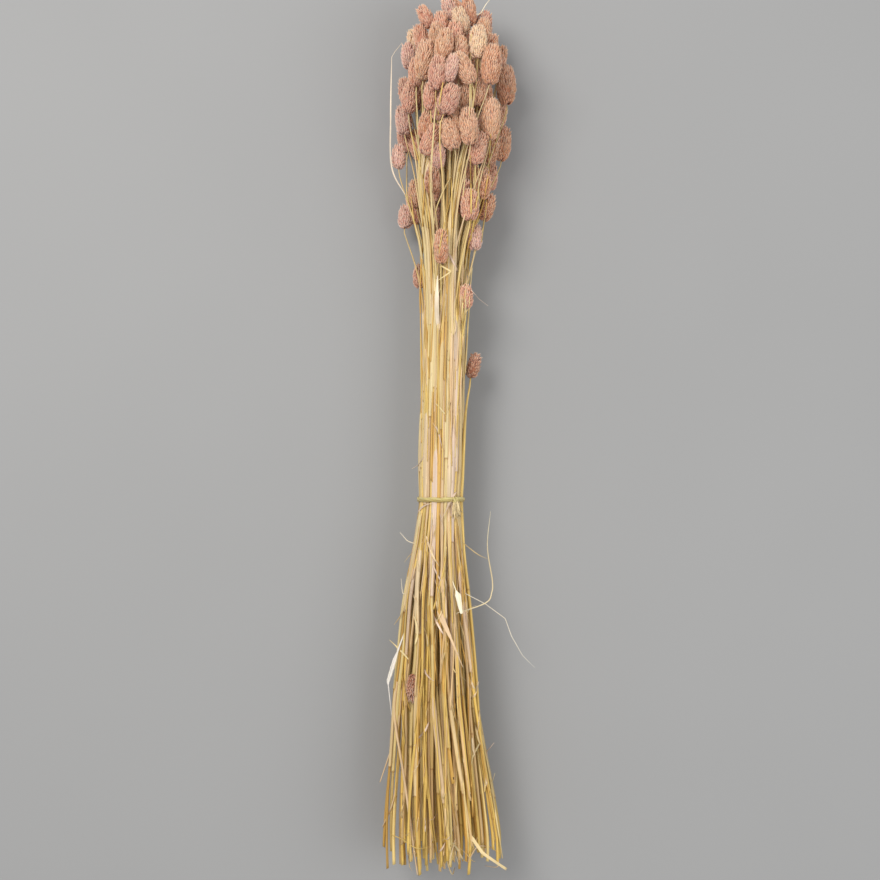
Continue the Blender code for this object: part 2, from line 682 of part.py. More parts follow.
def keep_largest_body(mesh):
    """Drops loose scraps, and the walls of any hollow that is sealed inside."""
    shape = bmesh.new()
    shape.from_mesh(mesh)
    left = set(shape.verts)
    bodies = []
    while left:
        seed = left.pop()
        body, edge = {seed}, [seed]
        while edge:
            for link in edge.pop().link_edges:
                for corner in link.verts:
                    if corner in left:
                        left.discard(corner)
                        body.add(corner)
                        edge.append(corner)
        bodies.append(body)
    bodies.sort(key=len)
    scraps = [corner for body in bodies[:-1] for corner in body]
    bmesh.ops.delete(shape, geom=scraps, context="VERTS")
    shape.to_mesh(mesh)
    shape.free()


def make_stems(bunch):
    """The straws, those of the rim whole and the inner ones broken off inside the core."""
    rim = bunch.rim
    pieces = []
    for plant in range(bunch.count):
        foot, neck = float(bunch.cut_along[plant]), float(bunch.base_along[plant])
        if foot > neck:
            continue
        below = PACKED_ALONG[0] + ROOT_LENGTH
        above = min(PACKED_ALONG[1] - ROOT_LENGTH, neck - LOW_HEAD_ROOT)
        if plant in rim:
            lower = simplified(bunch.stem_points(plant, foot, WAIST_ALONG), ROUTE_TOLERANCE)
            upper = simplified(bunch.neck_points(plant, WAIST_ALONG), ROUTE_TOLERANCE)
            pieces.append(make_stem(bunch, plant, lower[:-1] + upper))
            continue
        lower = simplified(bunch.stem_points(plant, foot, below), INNER_TOLERANCE[0])
        upper = simplified(bunch.neck_points(plant, above), INNER_TOLERANCE[1])
        pieces.append(make_stem(bunch, plant, lower))
        pieces.append(make_stem(bunch, plant, upper))
    return pieces


def make_stem(bunch, plant, route):
    """A straw along a route, one of its corners turned out from the bundle."""
    neck = float(bunch.base_along[plant])
    out = bunch.place[int(WAIST_ALONG / STATION_STEP), plant] - (0, AXIS_HEIGHT)
    corner = math.atan2(out[1], out[0])
    if route[0].z < STEM_RADIUS[0][1] * MM + 0.3 * MM:
        corner = -math.pi / 2
    sections = [rounded(float(stem_radius(p.y, neck)), 3, corner) for p in route]
    return swept("stem", route, sections)


def make_core(bunch):
    """The packed stems inside the rim, as one body."""
    rim = bunch.rim
    shape = bmesh.new()
    rings = []
    for along in CORE_ALONG:
        along = along * MM
        middle = float(outline_at(along)[0])
        off = bunch.place[int(round(along / STATION_STEP)), rim] - (middle, AXIS_HEIGHT)
        angles, sizes = np.arctan2(off[:, 1], off[:, 0]), np.hypot(off[:, 0], off[:, 1])
        sink = CORE_END_SINK if along in PACKED_ALONG else CORE_SINK
        turns = math.tau * np.arange(CORE_SIDES) / CORE_SIDES
        nearby = [turns + shift for shift in (-CORE_WINDOW, 0, CORE_WINDOW)]
        reach = [np.interp(near, angles, sizes, period=math.tau) for near in nearby]
        reach = np.min(reach, axis=0) - sink
        ring = []
        for angle, size in zip(turns.tolist(), reach.tolist()):
            across, height = size * math.cos(angle), size * math.sin(angle)
            ring.append(shape.verts.new((middle + across, along, AXIS_HEIGHT + height)))
        rings.append(ring)
    for ring, following in zip(rings, rings[1:]):
        for k in range(len(ring)):
            after = (k + 1) % len(ring)
            shape.faces.new((ring[k], ring[after], following[after], following[k]))
    shape.faces.new(rings[0][::-1])
    shape.faces.new(rings[-1])
    return finished_object("core", shape)


def make_blade(bunch, width, points):
    """A leaf blade or wisp that grows out of the nearest stem."""
    route = [Vector(p) * MM for p in points]
    route[0] = bunch.nearest_stem(route[0])
    shares = [BLADE_ENDS[0], *[1] * (len(route) - 2), BLADE_ENDS[1]]
    sections = []
    for share in shares:
        size = max(width * MM * share, BLADE_THICKNESS)
        sections.append(flat_section(size, BLADE_THICKNESS))
    return swept("blade", route, sections)


def make_stalks(bunch):
    """All the straw: the stems, packed at the middle, with their leaf blades."""
    pieces = [make_core(bunch), *make_stems(bunch)]
    for width, points in BLADES:
        pieces.append(make_blade(bunch, width, points))
    return fused("stalks", pieces)


def make_heads(bunch, number, plants):
    """A group of heads that touch, as one body."""
    pieces = [make_head(bunch, plant) for plant in plants]
    plant, radius, points = AWN
    if plant in plants:
        height = bunch.centre[plant, 2]
        route = [Vector((x * MM, y * MM, height + z * MM)) for x, y, z in points]
        route[0] = Vector(bunch.centre[plant])
        pieces.append(swept("awn", route, [rounded(radius * MM, 3)] * len(route)))
    return fused(f"heads_{number:02d}", pieces)


def make_tie(bunch):
    """A twisted band round the waist, with its knot and two frayed tails."""
    middle = float(outline_at(TIE_ALONG)[0])
    centre = Vector((middle, TIE_ALONG, AXIS_HEIGHT))
    row = int(TIE_ALONG / STATION_STEP)
    rim = bunch.rim
    places = bunch.place[row, rim] - (middle, AXIS_HEIGHT)
    girths = bunch.girth[row, rim]

    def reach(out):
        return float((places[:, 0] * out.x + places[:, 1] * out.z + girths).max())

    steps = TIE_TURNS * 3
    shape = bmesh.new()
    rings = []
    for i in range(steps):
        angle = math.tau * i / steps
        out = Vector((math.cos(angle), 0, math.sin(angle)))
        size = reach(out) + SEAT_GAP
        ring = []
        for k in range(TIE_SIDES):
            turn = math.tau * k / TIE_SIDES
            strand = 1 + STRAND_RELIEF * math.cos(2 * (turn - TIE_TURNS * angle / 2))
            along = TIE_WIDTH / 2 * math.sin(turn) * strand
            rise = TIE_THICKNESS / 2 * (1 + STRAND_RELIEF - math.cos(turn) * strand)
            spot = centre + out * (size + rise) + Vector((0, along, 0))
            ring.append(shape.verts.new(spot))
        rings.append(ring)
    for i in range(steps):
        ring, following = rings[i], rings[(i + 1) % steps]
        for k in range(TIE_SIDES):
            after = (k + 1) % TIE_SIDES
            shape.faces.new((ring[k], ring[after], following[after], following[k]))
    band = finished_object("band", shape)
    out = Vector((math.cos(KNOT_ANGLE), 0, math.sin(KNOT_ANGLE)))
    side = Vector((-out.z, 0, out.x))
    seat = centre + out * (reach(out) + SEAT_GAP + TIE_THICKNESS)
    shape = bmesh.new()
    bmesh.ops.create_icosphere(shape, subdivisions=1, radius=1)
    for corner in shape.verts:
        across, along, rise = corner.co
        spot = side * (across * KNOT_SIZE[0]) + out * (rise * KNOT_SIZE[2])
        corner.co = seat + spot + Vector((0, along * KNOT_SIZE[1], 0))
    pieces = [band, finished_object("knot", shape)]
    for tail in TAILS:
        route = [seat]
        for across, along, rise in tail:
            step = side * (across * MM) + out * (rise * MM)
            route.append(seat + step + Vector((0, along * MM, 0)))
        sections = [rounded(r * MM, TIE_SIDES) for r in TAIL_RADII]
        pieces.append(swept("tail", route, sections))
    return fused("tie", pieces)


def paint(thing, colour, roughness):
    """Gives an object a matte material of its own."""
    material = bpy.data.materials.new(thing.name)
    material.use_nodes = True
    surface = material.node_tree.nodes["Principled BSDF"]
    surface.inputs["Base Color"].default_value = colour
    surface.inputs["Roughness"].default_value = roughness
    thing.data.materials.clear()
    thing.data.materials.append(material)


def stand_on_origin(things):
    """Moves everything so that the origin is on the surface, under the middle of the box."""
    corners = np.array([v.co for thing in things for v in thing.data.vertices])
    low, high = corners.min(axis=0), corners.max(axis=0)
    middle = Vector(((low[0] + high[0]) / 2, (low[1] + high[1]) / 2, low[2]))
    for thing in things:
        thing.data.transform(Matrix.Translation(-middle))


def main():
    """Builds the bundle."""
    for thing in list(bpy.data.objects):
        bpy.data.objects.remove(thing)
    bunch = Bunch().settle()
    stalks = make_stalks(bunch)
    paint(stalks, STRAW, 0.6)
    stalks.data.shade_smooth()
    stalks.data.set_sharp_from_angle(angle=math.radians(50))
    tie = make_tie(bunch)
    paint(tie, TWINE, 0.8)
    tie.data.shade_smooth()
    things = [stalks, tie]
    for number, plants in enumerate(bunch.groups, 1):
        heads = make_heads(bunch, number, plants)
        paint(heads, DUSTY_PINK, 0.75)
        things.append(heads)
    stand_on_origin(things)


if __name__ == "__main__":
    main()
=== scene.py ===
"""The looks of a bundle of dried canary grass that lies on a surface.

The plants are placed by the same tables and rules as in the part's own source, in the layout's
axes, and are then moved to the part's. Every head gets its glumes, every straw its joints, sheaths
and cut end, and the tie its twisted strands. Metres, +Z up; tables hold millimetres, "along" from
the lowest cut end towards the heads and "across" sideways from the middle of the tie.
"""

import math
import random

import bpy
import numpy as np
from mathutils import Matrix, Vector


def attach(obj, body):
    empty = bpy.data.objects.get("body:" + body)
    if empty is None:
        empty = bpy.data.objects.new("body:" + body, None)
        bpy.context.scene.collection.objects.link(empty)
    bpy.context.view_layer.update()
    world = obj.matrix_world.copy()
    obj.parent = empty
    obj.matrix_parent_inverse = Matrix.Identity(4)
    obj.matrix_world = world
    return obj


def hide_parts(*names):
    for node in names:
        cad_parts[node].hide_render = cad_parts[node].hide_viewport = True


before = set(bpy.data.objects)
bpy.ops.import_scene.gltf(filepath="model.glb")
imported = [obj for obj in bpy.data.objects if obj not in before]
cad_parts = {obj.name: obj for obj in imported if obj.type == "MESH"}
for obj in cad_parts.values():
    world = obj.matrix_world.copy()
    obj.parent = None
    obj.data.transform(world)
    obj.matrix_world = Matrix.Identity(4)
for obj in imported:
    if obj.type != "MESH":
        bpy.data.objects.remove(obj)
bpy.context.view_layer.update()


def srgb(*levels):
    """A linear colour from sRGB levels of 0 to 255."""
    shares = np.array(levels) / 255
    return np.where(shares <= 0.04045, shares / 12.92, ((shares + 0.055) / 1.055) ** 2.4)


MM = 0.001
SEED = 9

# The bundle's outline from above: along, the middle's place across, half the width.
OUTLINE = (
    (0, 4, 46), (25, 4, 47), (55, 2, 44), (95, 0, 39), (135, -2, 35), (175, -2, 31),
    (215, -2.5, 27.5), (255, -1.5, 21), (281, -0.3, 17.9), (295, 0, 16.9), (309, 0.4, 17.7),
    (375, 2, 19.5), (455, 4, 23),
    (500, 5, 27), (535, 6, 34), (566, 8, 38), (600, 11.5, 43.5), (630, 13.5, 46),
    (655, 11, 41), (680, 8, 28), (700, 12, 18),
)
# How high the bundle's axis lies over the surface.
AXIS_HEIGHT = 39 * MM

# The heads that show from above: across, along, lean to the right in degrees, length, width,
# and how many layers of heads lie over it.
SHOWN_HEADS = (
    (-11, 678, -29, 18, 10, 0), (7, 683, -20, 20, 11, 1), (15, 686, -50, 20, 11, 2),
    (25, 683, -5, 22, 11, 0), (1, 670, 0, 20, 11, 1), (14, 673, -15, 21, 12, 0),
    (15, 660, 0, 24, 13, 1), (27, 655, 0, 24, 13, 0), (29, 667, 5, 20, 11, 1),
    (-26, 652, -5, 20, 11, 0), (-19, 663, -10, 20, 11, 2), (-12, 662, -10, 20, 11, 1),
    (-12, 641, 5, 29, 14, 0), (-2, 659, 0, 22, 12, 1), (6, 651, 10, 24, 13, 0),
    (16, 648, 0, 22, 12, 1), (40, 654, 15, 21, 12, 1), (36, 637, 5, 29, 14, 0),
    (48, 652, 15, 20, 11, 2), (47, 642, 5, 20, 11, 2), (53, 628, 0, 29, 14, 0),
    (-21, 634, 0, 21, 12, 1), (-30, 624, -10, 22, 11, 1), (-4, 648, -10, 22, 12, 2),
    (-4, 628, 5, 25, 12, 0), (5, 632, 15, 20, 10, 0), (17, 633, -30, 25, 13, 0),
    (12, 622, 0, 24, 12, 2), (-13, 612, 0, 20, 10, 0), (-22, 616, 5, 24, 12, 1),
    (-4, 604, 15, 21, 11, 1), (10, 608, 20, 22, 15, 0), (21, 611, 0, 26, 13, 2),
    (26, 620, 0, 26, 13, 2), (38, 616, 0, 24, 12, 2), (39, 596, 3, 31, 14, 0),
    (49, 605, 10, 22, 12, 1), (46, 582, 5, 26, 12, 1), (-26, 600, -5, 22, 12, 0),
    (-15, 591, 10, 21, 11, 0), (-28, 588, -10, 22, 12, 2), (-8, 579, 25, 24, 12, 0),
    (6, 582, -20, 23, 14, 0), (10, 593, -10, 22, 12, 1), (20, 588, -5, 27, 13, 0),
    (31, 573, 10, 24, 13, 0), (-33, 569, 0, 18, 10, 0), (5, 567, 0, 20, 11, 1),
    (-7, 565, 5, 22, 12, 2), (40, 558, 0, 24, 12, 2), (-21, 541, -5, 21, 11, 1),
    (-24, 523, 5, 18, 11, 0), (-7, 546, 0, 27, 12, 2), (3, 547, 0, 20, 11, 1),
    (26, 554, 0, 22, 12, 2), (31, 547, 5, 24, 12, 1), (23, 528, 0, 23, 13, 0),
    (37, 529, 15, 21, 11, 0), (23, 504, 0, 19, 11, 1), (1, 495, 0, 25, 10, 0),
    (18, 456, 0, 18, 10, 0), (-16, 475, 0, 18, 10, 1), (27, 402, 15, 19, 9, 0),
    (-20, 146, 184, 21, 10, 0),
)
# How far a layer of heads lies under the one over it.
LAYER_DEPTH = 8 * MM
# Hidden heads: how many, where the low and the high ones lie, how many are low,
# how long they are, and how far apart they have to be at first.
HIDDEN_HEADS = 40
HIDDEN_ALONG = (515 * MM, 572 * MM, 674 * MM)
HIDDEN_LOW_SHARE = 0.16
HIDDEN_LENGTH = (22 * MM, 29 * MM)
HIDDEN_SPACING = 12 * MM
# The spacing shrinks at each failure, and counts less along the bundle.
SPACING_SHRINK = 0.999
SPACING_ALONG = 0.5
# Above the first, the sine of their angle, hidden heads lie on the upper side, and there
# they stay within the second, a share of their reach.
UPPER_SIDE = 0.1
UPPER_REACH = 0.6
# A hidden head's width as a share of its length, and how much wider shown ones are
# than their outline in the table.
HEAD_SLIMNESS = 0.53
PLUMPNESS = 1.14
# How far heads lean out: away from the bundle's axis, to its sides, and at random.
OUTWARD_LEAN = 0.25
SIDE_LEAN = 0.3
STRAY_LEAN = 0.12
# How many heads one node may hold, and how many nodes of heads there are.
HEADS_A_NODE = 3
HEAD_NODES = 58
# Heads side by side are grouped: how much their stretches overlap, and the weight of a step along.
SIDE_BY_SIDE = 0.55
STEP_WEIGHT = 0.8
# How deep heads of one group bite into each other: shown ones, and others.
BITE = (2.3 * MM, 3.3 * MM)
# Where a head's rows start and end, as a share of its length from its ends.
FOOT_SHARE = 0.03
# How far the broken head sinks among the stems.
BROKEN_HEAD_DROP = 2.0 * MM
# A long spike: its head, its radius, and (across, along, lift) of each point.
AWN = (3, 0.5, ((25, 674, 0), (31, 680, 3), (36, 687, 4), (41.6, 694, 5)))

# A stem's radius along the bundle, and the last stretch where it thins to its head.
STEM_RADIUS = ((0, 1.4), (240, 1.45), (320, 1.45), (400, 1.3), (470, 1.05), (700, 0.8))
NECK_RADIUS = 0.55 * MM
NECK_LENGTH = 60 * MM
# How uneven the cut ends are, and the stems that are cut short.
CUT_END_SPREAD = (0, 26 * MM)
SHORT_CUTS = {5: 66 * MM, 17: 52 * MM, 31: 74 * MM, 44: 60 * MM, 78: 45 * MM, 96: 58 * MM}
# Rim stems that stand out at the foot: their place in the rim, and how far out.
LOOSE_FEET = {0: 1.16, 33: 1.12, 15: 1.1}
# How much a head under the axis sinks in each round.
SAG = 0.07 * MM
# How stems stray at the foot: how far round the axis, and how far out from it.
BASE_SWAY = math.radians(32)
BASE_SPREAD = (0.78, 1.03)

# Where the waist is, and the stations along the bundle.
WAIST_ALONG = 295 * MM
STATION_STEP = 5 * MM
STATIONS = np.arange(0, 0.705, STATION_STEP)
# Over how long a stretch a stem bends to its head's base, and then turns to its head's slope.
BASE_BEND = 50 * MM
NECK_BEND = 14 * MM
NECK_TURN = 0.8
# How far stems dive under the heads in front of them, how far below their own head that starts, and
# over how long a stretch it grows and fades.
DIVE = 8 * MM
DIVE_START = 10 * MM
DIVE_BEND = 22 * MM
DIVE_FADE = 150 * MM
# The room between stems, between a stem and a head, and between heads, and how far
# heads are pressed flat by the surface.
STEM_CLEARANCE = 0.1 * MM
HEAD_CLEARANCE = 1.7 * MM
HEAD_CLEARANCE_HEADS = 0.8 * MM
PRESSED_FLAT = 0.5 * MM
# How much of an overlap each round undoes: stems off stems, stems off heads, heads off stems,
# heads off heads, and how much of a gap it closes between the heads of a group.
STEM_PUSH = 0.3
STEM_OFF_HEAD = 0.8
HEAD_OFF_STEM = 0.03
HEAD_PUSH = 0.25
HEAD_DRAW = 0.3
# How much of a shown head's sideways push is kept. Then the rounds of pushing, how many at
# the end have no spring, how often a push spreads along a stem, and the digits kept.
SHOWN_STAY = 0.6
ROUNDS = 150
CALM_ROUNDS = 25
SPRING_ROUNDS = 3
DIGITS = 7
# A length that counts as none, and one that keeps a length from being none.
TINY = 1e-6
NEVER_ZERO = 1e-9

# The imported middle: how far up stems are kept in, the stems of its rim, the stride in which
# they are picked, how much a far head counts there, and how full the inside is.
STRAYS_BELOW = 440 * MM
RIM_STEMS = 34
RIM_STRIDE = 13
RIM_REACH = 0.3
INNER_FILL = 0.8
# Below the first the loose rim stems may leave the outline. The second is the least length
# over which a stem goes from the waist to its head.
LOOSE_BELOW = 228 * MM
SHORTEST_RISE = 30 * MM
# A head is the nearer to its foot at its widest, the less this is.
EGG_SKEW = 0.85

# The tie: where it lies, where its knot sits, and (sideways, along, out) of its tails.
TIE_ALONG = 295 * MM
KNOT_ANGLE = math.radians(48)
TAILS = (
    ((1.5, -3, 0.5), (2.5, -7, 1), (1, -12, -0.5)),
    ((-1, -3, 1), (-2.5, -8, 1.2), (-5, -10, 0)),
)

# Leaf blades and loose wisps: width, then (across, along, height) of each point.
BLADES = (
    (2.4, ((-33, 538, 40), (-40, 566, 46), (-38.5, 612, 50), (-38, 647, 50), (-30, 658, 51))),
    (1.4, ((18, 205, 62), (36, 213, 52), (41, 221, 50), (41.6, 231, 50), (37.6, 258, 54),
           (40, 286, 56))),
    (1.0, ((24, 222, 56), (36, 212, 47), (52, 200, 44), (57, 186, 42), (66, 170, 38),
           (76, 160, 36))),
    (1.6, ((-17, 258, 44), (-26, 262, 46), (-32, 269, 47))),
    (1.6, ((-22, 218, 40), (-30, 220, 42), (-31, 232, 44))),
    (4.6, ((-27, 190, 46), (-36, 168, 46), (-41.6, 150, 45), (-38.6, 122, 42), (-33, 112, 42))),
    (5.0, ((-2, 432, 58), (-2.5, 450, 61.5), (-2, 472, 63))),
    (3.4, ((0, 208, 66), (8, 188, 71), (18, 164, 71))),
    (3.6, ((11, 235, 60), (14, 220, 66), (17, 206, 69))),
    (3.0, ((18, 34, 80), (33, 18, 80), (52, 6, 72))),
    (1.8, ((-3, 480, 60), (8.8, 475, 65), (-1.6, 468, 64.5))),
)

# Where the layout's origin lies from the part's: the middle of its box, on the surface.
LAYOUT_MIDDLE = np.array((14.8885, 347.1419, 0)) * MM
# The way along the bundle.
ALONG = np.array((0, 1.0, 0))
LOOKS_SEED = 5
# The ranges that phases of waves, and places in the grain, are drawn from.
PHASE = (0, 6)
SEEDS = (0, 9)

# Heads: how large a part of a cylinder's skin an egg's is, and how much of it a spikelet takes.
EGG_AREA = 0.78
SPIKELET_AREA = 6.2 * MM**2
HIDDEN_SPIKELET_AREA = 10 * MM**2
# How glumes are spread: the turn from one to the next, the steps of the outline that they
# follow, how blunt it is, how many more sit at its thin ends, how unevenly they sit, the slopes
# that they may follow, and how deep in the skin they sit.
GOLDEN_ANGLE = math.pi * (3 - math.sqrt(5))
SWELL_STEPS = 60
BLUNTNESS = 0.75
THIN_END_WEIGHT = 0.18
ALONG_JITTER = 0.012
ROUND_JITTER = 0.2
SLOPE_LIMITS = (-0.4, 0.8)
GLUME_SEAT = 0.86
# Where a head's last glumes sit, and from where they close up over its tip.
LAST_GLUME = 0.985
CLOSING = 0.91
# How far glumes stand off in degrees, how that grows to the tip, and the heads that are more open.
GLUME_FLARE = (11, 34)
BASE_FLARE = 0.65
TIP_FLARE = 1.05
OPEN_HEADS = {0: 1.3, 24: 1.2, 62: 1.7, 63: 1.5}
# A glume's size: one part for all, and one that grows with the head. Then its other measures as
# shares, its root's depth, and how its length varies, grows ahead and shrinks at the tip.
GLUME_LENGTH = (2.9 * MM, 0.1)
GLUME_WIDTH = 0.37
GLUME_THICKNESS = 0.15
GLUME_BACK = 0.4
GLUME_TIP = (0.1, 1)
GLUME_ROOT = 0.42
LENGTH_SPREAD = (0.86, 1.12)
GROWTH = (0.92, 0.3, 0.3)
# A glume: how far up it each ring lies, and its half width and thickness there.
GLUME_RINGS = ((0.15, 0.6, 0.7), (0.45, 1.0, 1.0), (0.78, 0.5, 0.55))
# The two glumes of a pair: turned and leaning apart in degrees, and how far apart they stand.
PAIR_TURN = (8, 26)
PAIR_LEAN = (2, 9)
PAIR_APART = 0.13
# A glume's tints: lighter at its tip, more so ahead, in its own shade, and darker at its foot with
# painted shade, where it lies under the glumes over it. The last is each head's own shade.
TIP_LIGHT = (0.15, 0.75)
LIGHTER_AHEAD = 0.4
GLUME_SHADE = 0.07
GLUME_HUE = 0.02
FOOT_PAINTED_SHADE = 0.42
FOOT_REACH = 0.5
HEAD_SHADE = (0.93, 1.06)
# The body in a head: its sections, from where to where it reaches, its size, and its tint, darkened
# as painted shade between the glumes.
CORE_SIDES = 10
CORE_ROWS = 7
CORE_STRETCH = (0.02, 0.84)
CORE_TIP = 0.87
CORE_SIZE = 0.92
CORE_TAPER = ((0.5, 0.84), (1, 0.72))
CORE_PAINTED_SHADE = (0.3, 0.6)
# The long spike: how much finer it is than in the solids, and its tone.
AWN_SLIMMED = 0.8
AWN_TONE = srgb(236, 224, 196)

# The tones of the heads, and which head has which.
TONES = {
    "p": srgb(215, 152, 124),
    "m": srgb(192, 134, 114),
    "t": srgb(208, 154, 116),
    "o": srgb(196, 132, 92),
    "b": srgb(158, 98, 66),
    "c": srgb(236, 200, 162),
    "l": srgb(222, 174, 160),
}
SHOWN_TONES = "pltopcpctlcpttttooopopmmmltppmmmttottolomptttpllmptlpbpopolopmbb"
HIDDEN_TONES = "ptmobpt"
# What glumes turn to at their tips, at their feet (painted shade) and in patches.
HUSK_TIP = srgb(250, 210, 176)
HUSK_FOOT_SHADE = srgb(170, 110, 79)
HUSK_PATCH = srgb(214, 158, 148)

# Straws: sides and pitch of the sections of those on the rim, and of those inside it.
OUTER_SECTIONS = (12, 4 * MM)
INNER_SECTIONS = (9, 6 * MM)
# How often their routes are smoothed, how far below its head a straw has its last station, and
# how thick, ribbed and light straws are.
SMOOTHING = 6
LAST_STATION = 3 * MM
STRAW_SIZES = (0.85, 1.15)
STRAW_TAPER = ((0, 0.8), (240 * MM, 0.82), (300 * MM, 1), (440 * MM, 1), (540 * MM, 0.74))
STRAW_RIBS = 0.06
STRAW_SHADE = (0.82, 1.22)
# Below the tie straws sway, more so towards their cut ends, and the tie pinches them.
SWAY = 0.8 * MM
SWAY_PITCH = 38 * MM
SWAY_GROWS = 120 * MM
SWAY_PHASES = (1.0, 2.3)
PINCH = 0.035
PINCH_REACH = 12 * MM
# Joints: where they start, how far apart they are, the length under the head that has none, the
# rows of points round each in millimetres, and how thick and dark they are.
FIRST_JOINT = (20 * MM, 130 * MM)
JOINT_PITCH = (80 * MM, 165 * MM)
JOINTLESS = 120 * MM
JOINT_ROWS = (-1.4, -0.6, 0, 0.6, 1.4)
JOINT_SWELL = 0.16
JOINT_REACH = 0.9 * MM
JOINT_DARK = 0.6
DARK_BELOW = 0.4 * MM
DARK_REACH = 0.8 * MM
# Sheaths: how many joints have one, how much of the way to the next it covers, how thick it is,
# how far its torn edge varies, the rows of points there, and how wide it spreads.
SHEATHED = 0.6
SHEATH_REACH = (0.45, 0.95)
SHEATH_THICKNESS = 0.22 * MM
TEAR = 3 * MM
TEAR_ROWS = (-6, -4, -2.5, -1, 0.5)
SHEATH_SPREAD = 0.6
SPREAD_SHARE = (0.4, 1)
SHEATH_WIDENS = 20 * MM
SHEATH_NARROWS = 8 * MM
# The cut end: its hollow, how deep it is and how dark its painted shade is, and how slanting the
# cut.
HOLLOW = 0.62
HOLLOW_DEPTH = 5 * MM
HOLLOW_PAINTED_SHADE = 0.4
CUT_SLANT = 0.8
# Straws lose these shares of red, green and blue towards their cut ends, and are paler towards
# their heads.
GOLDEN = (0.02, 0.07, 0.27)
GOLDEN_BELOW = 265 * MM
GOLDEN_FADE = 120 * MM
PALE_STEM = srgb(228, 206, 150)
PALE_SHARE = 0.6
PALE_ABOVE = 400 * MM
PALE_FADE = 100 * MM
# The straws' tones, each with its share of them.
STRAWS = (
    (0.38, srgb(220, 188, 108)),
    (0.26, srgb(226, 202, 144)),
    (0.20, srgb(216, 186, 146)),
    (0.16, srgb(204, 162, 86)),
)
# The tones of sheaths, joints and cut ends, and of the bands and spots on straws.
SHEATH = (srgb(220, 196, 160), srgb(218, 194, 174), srgb(224, 204, 154), srgb(210, 184, 132))
JOINT = srgb(150, 98, 44)
CUT = srgb(120, 84, 44)
STRAW_BAND = srgb(210, 170, 98)
STRAW_SPOT = srgb(132, 88, 44)

# How near a stem's side still counts as on it, where loose things are laid over the bundle.
BESIDE = 0.4 * MM
# Blades and wisps: the pitch of their sections, their shape, waves and bands of tone, and how
# many of the straws' tones wisps take.
BLADE_PITCH = 2.2 * MM
RIBBON_POINTS = 5
BLADE_CUP = 0.16
BLADE_THICKNESS = 0.25 * MM
RAGGED = 0.05
BLADE_WAVE = 0.25
BLADE_WAVES = (4, 9)
BLADE_BANDS = (0.08, 9)
WISP_PITCH = 2.0 * MM
WISP_TAPER = ((0, 0.1, 0.7, 1), (0.8, 1, 0.9, 0.4))
WISP_BANDS = (0.06, 14)
WISP_TONES = 3

# Loose thin straws that cross the bundle: radius, then (across, along, lift over the bundle).
WISPS = (
    (0.55, ((24.5, 660, 2), (24, 641, 1.5), (23.5, 620, 1.5), (23, 594, 1))),
    (0.5, ((2.4, 621, 1), (0, 606, 1), (-1.6, 592, 1), (-1, 560, 0.5))),
    (0.6, ((35.2, 566, 1), (28, 545, 1.2), (19.2, 518, 1), (12, 490, 0.6), (8, 455, 0.3))),
    (0.55, ((-23.2, 588, 1), (-18, 568, 1), (-12.8, 545, 0.8), (-9.6, 510, 0.5))),
    (0.5, ((40, 583, 1), (39, 560, 1), (37, 530, 0.6), (33, 500, 0.4))),
    (0.5, ((9, 552, 1), (1.6, 536, 1.2), (-4, 520, 1), (-6, 490, 0.5))),
    (0.5, ((16, 560, 1), (6, 524, 1.2), (1, 500, 1), (-3, 470, 0.5))),
    (1.1, ((-34, 150, 0), (-36, 122, 1), (-28, 73, 1.5), (-17.6, 3, 1.5))),
    (0.9, ((-30, 150, 0), (-34, 110, 0), (-41, 89, 1), (-48, 69, 2))),
    (0.8, ((-32, 90, 0), (-37, 56, 0), (-46, 33, 1))),
    (0.35, ((-39, 28, 1), (-30, 27, 2), (-18, 24, 2), (-5.6, 23, 1))),
    (0.5, ((22, 10, 1), (30, 22, 3), (44, 15, 3), (46, 4, 1), (36, 2, 1))),
    (0.9, ((30, 120, 0), (38, 82, 0), (45, 40, 0), (50, 8, 1))),
)

# Forms of a blade: whether it has kinks, then its width at places along it, as shares.
BLADE_FORMS = {
    "leaf": (False, (0, 0.15, 0.6, 1), (0.5, 1, 1, 0.15)),
    "kinked": (True, (0, 0.15, 0.6, 1), (0.7, 1, 1, 0.3)),
    "snapped": (True, (0, 0.22, 0.3, 0.5, 0.55, 1), (0.25, 0.4, 1, 1, 0.22, 0.12)),
    "torn": (True, (0, 0.08, 0.3, 0.5, 1), (0.9, 1.3, 1.1, 0.5, 0.15)),
    "curl": (True, (0, 0.42, 0.52, 0.6, 1), (0.12, 0.16, 1.25, 1.25, 0.6)),
    "splinter": (True, (0, 0.1, 1), (0.7, 1, 0.7)),
}
# Looks of each leaf blade: its width as a share of the part's, its colour, twist and form.
BLADE_LOOKS = (
    (0.45, (232, 214, 190), 0.6, "leaf"), (0.6, (224, 210, 172), 0.5, "leaf"),
    (0.5, (232, 226, 210), 0, "kinked"), (0.4, (234, 226, 206), 0.2, "kinked"),
    (0.4, (232, 222, 200), 0.3, "kinked"), (0.72, (250, 244, 236), 0.5, "snapped"),
    (0.7, (236, 218, 192), 0.3, "leaf"), (1, (226, 194, 156), 0.3, "torn"),
    (1, (248, 238, 212), 0.3, "curl"), (0.9, (234, 210, 158), 0.4, "splinter"),
    (0.7, (232, 208, 150), 0.2, "kinked"),
)
# Finer routes of single blades, where the part's has too few points for a sharp bend.
BLADE_BENDS = {
    0: ((-33, 538, 40), (-38.5, 560, 45), (-39.2, 600, 49.5), (-38.4, 642, 50), (-38, 647, 50),
        (-36, 650.5, 50.3), (-30, 658, 51)),
    9: ((18, 34, 80), (33, 20.5, 80), (52, 6, 72)),
}

